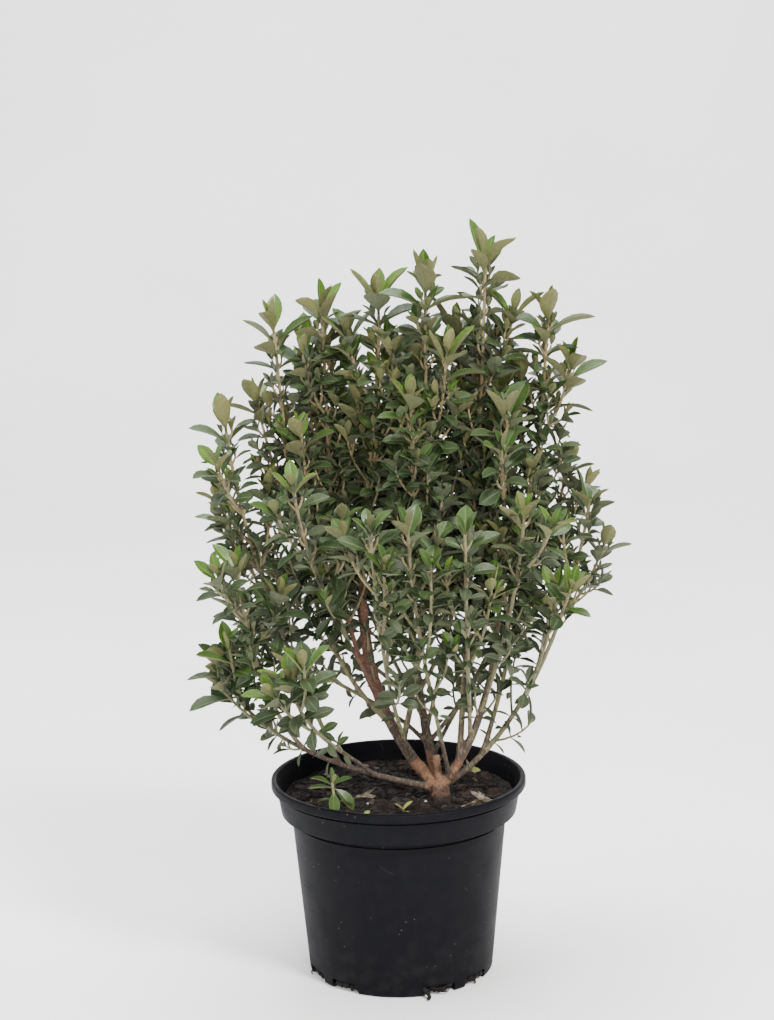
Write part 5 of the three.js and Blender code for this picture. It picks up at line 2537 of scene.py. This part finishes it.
@dataclass
class Pot:
    """The nursery pot: its turned shell and the drain notches in its foot.

    Radii are of the outside: the base, the wall below the step, the band above it and the rolled lip. Round
    the foot, `repeats` wide feet and as many narrow ones stand between the notches, by their angles.
    """

    finishes: Finishes
    dresser: Dresser
    height: float = 130.0
    lip_radius: float = 83.5
    band_radius: float = 80.0
    band_foot: float = 77.2
    step: float = 108.0
    wall_radius: float = 70.7
    base_radius: float = 60.7
    wall: float = 1.8
    floor: float = 2.2
    lip_height: float = 5.6
    sides: int = 224
    repeats: int = 4
    wide_foot: float = 42.0
    narrow_foot: float = 8.0
    turn: float = -96.5
    notch_height: float = 6.5
    notch_depth: float = 13.0
    notch_round: float = 1.6
    sharp_angle: float = 38.0

    @staticmethod
    def arc(x: float, y: float, radius: float, first: float, last: float, count: int) -> list[tuple]:
        """Returns points on an arc about x and y, from the first to the last angle in degrees."""
        angles = np.radians(np.linspace(first, last, count))
        return [(x + radius * math.cos(angle), y + radius * math.sin(angle)) for angle in angles]

    def profile(self) -> list[tuple[float, float]]:
        """Returns the pot's section, from the middle of its underside out, up and back to the floor.

        Returns:
            Radius and height of each point.
        """
        base, wall, foot, band = self.base_radius, self.wall_radius, self.band_foot, self.band_radius
        lip, top, step, thick = self.lip_radius, self.height, self.step, self.wall
        under_lip = top - self.lip_height
        return [
            # Underside and wall
            (0, 0), (0.5 * base, 0),
            *self.arc(base - 1.6, 1.6, 1.6, -90, -4, 6),
            *((lerp(base, wall, share), lerp(1.7, step, share)) for share in (0.3, 0.6, 0.9)),
            # Groove under the step, the step and the flared band
            (wall - 0.5, step - 5.1), (wall - 1.5, step - 4.6),
            *self.arc(wall - 0.7, step - 0.9, 0.8, 180, 100, 4),
            *self.arc(foot - 0.7, step + 0.2, 0.7, -90, -6, 5),
            (lerp(foot, band, 0.5), lerp(step, under_lip, 0.5)),
            # Groove under the lip, and the lip itself
            (band - 0.1, under_lip - 2.3), (band - 0.9, under_lip - 2.0),
            (band - 1.0, under_lip - 0.2), (band + 0.4, under_lip),
            *self.arc(lip - 1.0, under_lip + 1.0, 1.0, -95, 0, 5),
            *self.arc(lip - 1.5, top - 1.5, 1.5, 6, 90, 6),
            *self.arc(lip - 2.5, top - 1.1, 1.1, 100, 178, 5),
            # Inside, down to the floor
            (band - thick - 0.2, under_lip - 0.6), (band - thick - 0.5, under_lip - 2.2),
            (foot - thick + 0.4, step + 3.6), (foot - thick - 1.0, step + 2),
            (wall - thick + 0.4, step + 0.7), (wall - thick - 0.2, step - 1.2),
            (base - thick + 0.2, self.floor + 1.6), (base - thick - 1.6, self.floor),
            (0.5 * base, self.floor), (0, self.floor),
        ]

    def notch_width(self) -> float:
        """Returns the angle that each drain notch takes."""
        return (360 / self.repeats - self.wide_foot - self.narrow_foot) / 2

    def notch_bearings(self) -> list[float]:
        """Returns the bearing in degrees of the middle of each drain notch.

        Returns:
            The bearings.
        """
        notch = self.notch_width()
        bearings = []
        for k in range(self.repeats):
            first = self.turn + k * (360 / self.repeats) + self.wide_foot / 2 + notch / 2
            bearings += [first, first + notch + self.narrow_foot]
        return bearings

    def notch_cutters(self) -> Object:
        """Builds the blocks that cut the drain notches, with rounded upper corners.

        Returns:
            The blocks as one object.
        """
        half = self.base_radius * math.sin(math.radians(self.notch_width() / 2))
        high, corner = self.notch_height, self.notch_round
        right = self.arc(half - corner, high - corner, corner, 0, 90, 5)
        outline = [(-half, -3.0), (half, -3.0), *right, *((-x, z) for x, z in reversed(right))]
        points, faces = [], []
        for bearing in self.notch_bearings():
            faces += capped_faces(len(points), len(outline), 1)
            out, across = level(bearing), level(bearing + 90)
            for radius in (self.base_radius - self.notch_depth, self.base_radius + 4):
                points += [out * radius + across * x + UP * z for x, z in outline]
        return placed(mesh_of("notch_cutters", np.array(points), faces))

    def build(self) -> None:
        """Builds the pot's shell and cuts its notches."""
        points = turned_points(self.profile(), self.sides)
        shell = mesh_of("pot_shell", points, turned_faces(len(self.profile()) - 2, self.sides))
        source, cutters = placed(shell), self.notch_cutters()
        cut = source.modifiers.new("notches", "BOOLEAN")
        cut.operation = "DIFFERENCE"
        cut.solver = "EXACT"
        cut.object = cutters
        piece = plain_copy(source, "pot_shell")
        remove(cutters)
        piece.data.materials.clear()
        piece.data.materials.append(self.finishes.pot)
        piece.data.shade_smooth()
        piece.data.set_sharp_from_angle(angle=math.radians(self.sharp_angle))
        self.dresser.finish(piece, "pot", "pot")


@dataclass(frozen=True)
class StrewnRow:
    """One kind of thing that lies on the soil, with its sizes in metres and its tilt in radians."""

    name: str
    shapes: str
    density: float
    seed: int
    smallest: float
    largest: float
    tilt: float
    finish: str
    inset: float


STREWN_ROWS = (
    StrewnRow("chips_dark", "shards", 17000.0, 11, 0.004, 0.011, 0.35, "chips_dark", 7.0),
    StrewnRow("chips_red", "shards", 8000.0, 12, 0.004, 0.012, 0.4, "chips_red", 7.5),
    StrewnRow("chips_tan", "shards", 2400.0, 13, 0.003, 0.009, 0.5, "chips_tan", 7.0),
    StrewnRow("crumbs_dark", "crumbs", 60000.0, 14, 0.0012, 0.0032, 3.0, "potting_mix", 2.5),
    StrewnRow("crumbs_brown", "crumbs", 26000.0, 15, 0.001, 0.0028, 3.0, "chips_dark", 2.5),
    StrewnRow("grit", "crumbs", 800.0, 16, 0.001, 0.0024, 3.0, "grit", 5.0),
)


@dataclass
class Soil:
    """The potting mix, the chips, crumbs and grit on it, and the roots that show in the notches.

    Its surface swells and crumbles unevenly, is heaped round the trunk and sinks towards the pot's wall.
    """

    pot: Pot
    finishes: Finishes
    dresser: Dresser
    trunk: TrunkSizes
    sides: int = 168
    rings: int = 46
    radius: float = 75.6
    swell: float = 1.5
    crumb: float = 0.75
    heap: float = 2.9
    heap_reach: float = 13.0
    hollow: float = 1.2
    clear: float = 0.7
    trunk_clear: float = 11.0

    def height_at(self, x: float, y: float) -> float:
        """Returns the height of the soil's surface.

        Args:
            x: The place along X.
            y: The place along Y.

        Returns:
            The height above the ground.
        """
        broad, middle, fine = (noise.noise(Vector((x / grain, y / grain, layer)))
                               for grain, layer in ((17, 3.1), (6, 7.7), (2.2, 1.3)))
        from_trunk = (x - self.trunk.foot[0]) ** 2 + (y - self.trunk.foot[1]) ** 2
        heap = self.heap * math.exp(-from_trunk / self.heap_reach**2)
        hollow = self.hollow * ramp(math.hypot(x, y), 0.86 * self.radius, self.radius)
        lumps = self.swell * (broad + 0.6 * middle) + self.crumb * fine
        return SOIL_TOP - 0.4 + lumps + heap - hollow

    def bed_mesh(self, name: str) -> Mesh:
        """Builds the soil as a closed body: an uneven top, and a plain side and underside inside the pot.

        Args:
            name: The mesh's name.

        Returns:
            The mesh.
        """
        pot, clear = self.pot, self.clear
        base, bottom = pot.base_radius, pot.floor + clear
        profile = [(self.radius * (k / self.rings) ** 0.85, 0.0) for k in range(self.rings + 1)]
        profile += [(pot.band_foot - pot.wall - clear, pot.step + 2.6 + clear),
                    (pot.wall_radius - pot.wall - clear, pot.step + clear),
                    (base - pot.wall - clear, pot.floor + 6), (base - pot.wall - clear - 1.5, bottom),
                    (base - 8, bottom), (base - 16, bottom), (0.0, bottom)]
        points = turned_points(profile, self.sides)
        for point in points[:1 + self.rings * self.sides]:
            point[2] = self.height_at(point[0], point[1])
        faces = [[face[0], *face[:0:-1]] for face in turned_faces(len(profile) - 2, self.sides)]
        mesh = mesh_of(name, points, faces)
        mesh.materials.append(self.finishes.rough["potting_mix"])
        mesh.shade_smooth()
        return mesh

    def surface(self, name: str, inset: float) -> Mesh:
        """Builds the soil with a mark where things may lie: on top of it, off the wall and off the trunk.

        Args:
            name: The mesh's name.
            inset: How far from the pot's wall things lie.

        Returns:
            The mesh.
        """
        mesh = self.bed_mesh(name)
        strewn = []
        for vertex in mesh.vertices:
            place = vertex.co / MM
            on_top = place.z > SOIL_TOP - 6 and math.hypot(place.x, place.y) < self.radius - inset
            from_trunk = math.hypot(place.x - self.trunk.foot[0], place.y - self.trunk.foot[1])
            strewn.append(float(on_top and from_trunk > self.trunk_clear))
        set_values(mesh, "strewn", np.array(strewn))
        return mesh

    @staticmethod
    def shard_mesh(seed: int) -> Mesh:
        """Builds one chip of bark, about 1 long: an uneven slab with a smaller top.

        Args:
            seed: The chip's number.

        Returns:
            The mesh.
        """
        random = Seeded(300 + seed)
        sides = 7
        width, thick = random.varied(0.2, 0.25), random.varied(0.07, 0.09)
        points = []
        for lift, share in ((-thick, 0.8), (0.0, 1.0), (thick, 0.72)):
            for k in range(sides):
                angle = 2 * math.pi * k / sides
                jag = random.varied(0.75, 0.4)
                points.append((0.5 * math.cos(angle) * jag * share, width * math.sin(angle) * jag * share,
                               lift + random.around(0.06)))
        return mesh_of(f"shard_{seed}", np.array(points) / MM, capped_faces(0, sides, 2))

    @staticmethod
    def crumb_mesh(seed: int) -> Mesh:
        """Builds one crumb, about 1 across: a squashed lump with a few faces.

        Args:
            seed: The crumb's number.

        Returns:
            The mesh.
        """
        random = Seeded(500 + seed)
        sides = 5
        points = [(0, 0, -0.35)]
        for lift, k in product((-0.15, 0.2), range(sides)):
            angle = 2 * math.pi * (k + lift) / sides
            radius = 0.5 * random.varied(0.7, 0.4)
            points.append((radius * math.cos(angle), radius * math.sin(angle), lift + random.around(0.1)))
        points.append((0, 0, 0.42))
        return mesh_of(f"crumb_{seed}", np.array(points) / MM, turned_faces(2, sides))

    def build(self) -> None:
        """Builds the bed and what is strewn on it."""
        self.dresser.finish(placed(self.bed_mesh("soil_bed")), "soil", "soil")
        tree = scatter_tree()
        shapes = {kind: shape_collection(kind, [mesh(k) for k in range(STREWN_SHAPES)])
                  for kind, mesh in (("shards", self.shard_mesh), ("crumbs", self.crumb_mesh))}
        for row in STREWN_ROWS:
            piece = grown(self.surface(row.name, row.inset), tree, {
                "Shapes": shapes[row.shapes], "Density": row.density, "Seed": row.seed,
                "Smallest": row.smallest, "Largest": row.largest, "Tilt": row.tilt,
                "Finish": self.finishes.rough[row.finish],
            })
            self.dresser.finish(piece, "soil")
        for collection in shapes.values():
            clear_shapes(collection)

    def root_lines(self) -> list[Line]:
        """Returns the lines of the roots and of the lumps of soil that fill the drain notches.

        Returns:
            Points and radii of each line.
        """
        random = Seeded(640)
        edge = self.pot.base_radius
        across = np.linspace(-0.96, 0.96, 9)
        lines = []
        for number, bearing in enumerate(self.pot.notch_bearings()):
            for k in range(5):
                girth = random.varied(1.9, 1.1)
                spot = level(bearing + lerp(-7, 7, k / 4) + random.around(2))
                spot = spot * (edge - girth - random.varied(0.2, 1.4))
                aside = level(360 * random.draw()) * random.varied(1.6, 1.6)
                points = spot + UP * (1.2 * girth + 0.4) + across[:, None] * aside
                lines.append((points, girth * np.sqrt(1 - across**2)))
            for _ in range(3 + 3 * (number % 2)):
                spot = level(bearing + random.around(16)) * (edge - random.varied(0.5, 3))
                lines.append(self.root_line(spot + UP * random.varied(1.2, 3.6), random))
        hook = Bezier((14, -58, 5), (15.5, -61, 4.4), (17.5, -62.5, 3), (18.5, -64.5, 1.8), (17, -67, 1.8))
        lines.append((hook.samples(0, 11), np.linspace(1.6, 1.1, 12)))
        return lines

    def root_line(self, spot: np.ndarray, random: Seeded) -> Line:
        """Draws one root that curls in a notch.

        Args:
            spot: Where it starts.
            random: The row of numbers that bends it.

        Returns:
            Its points and radii.
        """
        heading = level(360 * random.draw())
        points = [spot]
        for _ in range(8):
            heading = unit(heading + 0.7 * np.array([random.around(2), random.around(2), random.around(1.2)]))
            following = points[-1] + heading * 1.2
            radius = np.linalg.norm(following[:2])
            following[:2] *= min(1.0, (self.pot.base_radius + 1.2) / radius)
            following[2] = min(max(following[2], 0.7), self.pot.notch_height - 0.6)
            points.append(following)
        return np.array(points), np.linspace(0.7, 0.35, len(points))


# Studio

@dataclass(frozen=True)
class SoftLight:
    """A square soft light, in metres and watts, which stands at a place and faces its aim."""

    name: str
    place: tuple[float, float, float]
    aim: tuple[float, float, float]
    side: float
    power: float
    colour: Colour = (1.0, 1.0, 1.0)

    def build(self) -> None:
        """Adds the light to the scene."""
        data = bpy.data.lights.new(self.name, "AREA")
        data.size = self.side
        data.energy = self.power
        data.color = self.colour
        light = bpy.data.objects.new(self.name, data)
        bpy.context.scene.collection.objects.link(light)
        light.location = self.place
        light.rotation_euler = (Vector(self.aim) - Vector(self.place)).to_track_quat("-Z", "Y").to_euler()


@dataclass(frozen=True)
class Studio:
    """The camera at the photograph's place, the pale floor and the soft lights, in metres and degrees."""

    camera_place: tuple[float, float, float] = (0.0, -1.4905, 0.6)
    yaw: float = -0.174
    pitch: float = 11.11
    roll: float = 0.966
    focal_pixels: float = 2367.0
    image: tuple[int, int] = (774, 1020)
    sensor: float = 36.0
    half_width: float = 13.0
    bend_at: float = 1.4
    bend: float = 0.9
    backdrop_top: float = 4.0
    below: float = 0.0002
    pale: tuple[Colour, Colour] = ((0.84, 0.84, 0.84), (0.88, 0.88, 0.88))
    surroundings: Colour = (0.99, 0.99, 1.0)
    surroundings_strength: float = 0.74
    lights: tuple[SoftLight, ...] = (
        SoftLight("key", (1.0, -1.4, 2.1), (0, 0, 0.26), 0.5, 101, (1.0, 0.985, 0.955)),
        SoftLight("fill", (-2.0, -0.6, 0.9), (0, 0, 0.24), 1.6, 34, (0.96, 0.98, 1.0)),
        SoftLight("front", (0.25, -2.0, 0.75), (0, 0, 0.3), 0.8, 26),
        SoftLight("top", (-0.2, 0.2, 1.9), (0, 0, 0.3), 1.2, 36),
        SoftLight("backdrop light", (0.0, 0.5, 2.6), (0, 2.2, 0.7), 1.6, 80),
    )

    def build_camera(self) -> None:
        """Makes the camera and gives it to the scene."""
        yaw, pitch, roll = (math.radians(angle) for angle in (self.yaw, self.pitch, self.roll))
        ahead = np.array([math.sin(yaw), math.cos(yaw), 0.0])
        forward = ahead * math.cos(pitch) - UP * math.sin(pitch)
        level_right = np.array([math.cos(yaw), -math.sin(yaw), 0.0])
        level_down = np.cross(forward, level_right)
        right = math.cos(roll) * level_right + math.sin(roll) * level_down
        down = -math.sin(roll) * level_right + math.cos(roll) * level_down
        data = bpy.data.cameras.new("camera")
        data.sensor_width = self.sensor
        data.lens = self.focal_pixels / max(self.image) * self.sensor
        camera = bpy.data.objects.new("camera", data)
        bpy.context.scene.collection.objects.link(camera)
        axes = np.column_stack([right, -down, -forward])
        camera.matrix_world = Matrix.Translation(self.camera_place) @ Matrix(axes.tolist()).to_4x4()
        bpy.context.scene.camera = camera

    def build_floor(self, groups: SurfaceGroups) -> None:
        """Makes the floor, which rises behind into a plain backdrop.

        Args:
            groups: The shared shader groups.
        """
        profile = [(-self.half_width, 0.0), (self.bend_at, 0.0)]
        rise = np.radians(np.linspace(6, 90, 15))
        profile += [(self.bend_at + self.bend * math.sin(angle), self.bend - self.bend * math.cos(angle))
                    for angle in rise]
        profile.append((self.bend_at + self.bend, self.backdrop_top))
        points = [(side * self.half_width, y, z - self.below) for y, z in profile for side in (-1, 1)]
        faces = [[2 * k, 2 * k + 1, 2 * k + 3, 2 * k + 2] for k in range(len(profile) - 1)]
        mesh = mesh_of("floor", np.array(points) / MM, faces)
        mesh.shade_smooth()
        writer = MaterialWriter("pale_floor", groups)
        writer.wire(colour=writer.blend(writer.mottle(3.0), *self.pale), rough=0.85)
        mesh.materials.append(writer.material)
        placed(mesh)

    def build_lights(self) -> None:
        """Makes the lights and the pale surroundings."""
        for light in self.lights:
            light.build()
        world = bpy.data.worlds.new("surroundings")
        world.use_nodes = True
        background = world.node_tree.nodes["Background"].inputs
        background["Color"].default_value = (*self.surroundings, 1.0)
        background["Strength"].default_value = self.surroundings_strength
        bpy.context.scene.world = world


def main() -> None:
    """Builds the bush, its pot and the studio."""
    logging.basicConfig(level=logging.INFO, format="%(name)s %(message)s")
    studio, groups, dresser = Studio(), SurfaceGroups(), Dresser()
    studio.build_camera()
    studio.build_lights()
    studio.build_floor(groups)
    finishes = Finishes(groups)
    bush = Bush(TrunkSizes())
    LOG.info("%d shoots, %d leaves", len(bush.shoots), len(bush.leaves))
    limbs = Limbs(bush, finishes, dresser)
    limbs.build_bark()
    limbs.build_green()
    Foliage(bush, finishes, dresser).build()
    pot = Pot(finishes, dresser)
    pot.build()
    soil = Soil(pot, finishes, dresser, bush.trunk)
    soil.build()
    limbs.sweep("sprout_stem", [Sprout().stem()], finishes.twig, "foliage", "sprout",
                Sides=9, Unevenness=0.2, Grain=500.0)
    limbs.sweep("roots", soil.root_lines(), finishes.rough["roots"], "soil",
                Sides=9, Unevenness=0.9, Grain=700.0)
    LOG.info("%d triangles in all", dresser.count)


if __name__ == "__main__":
    main()
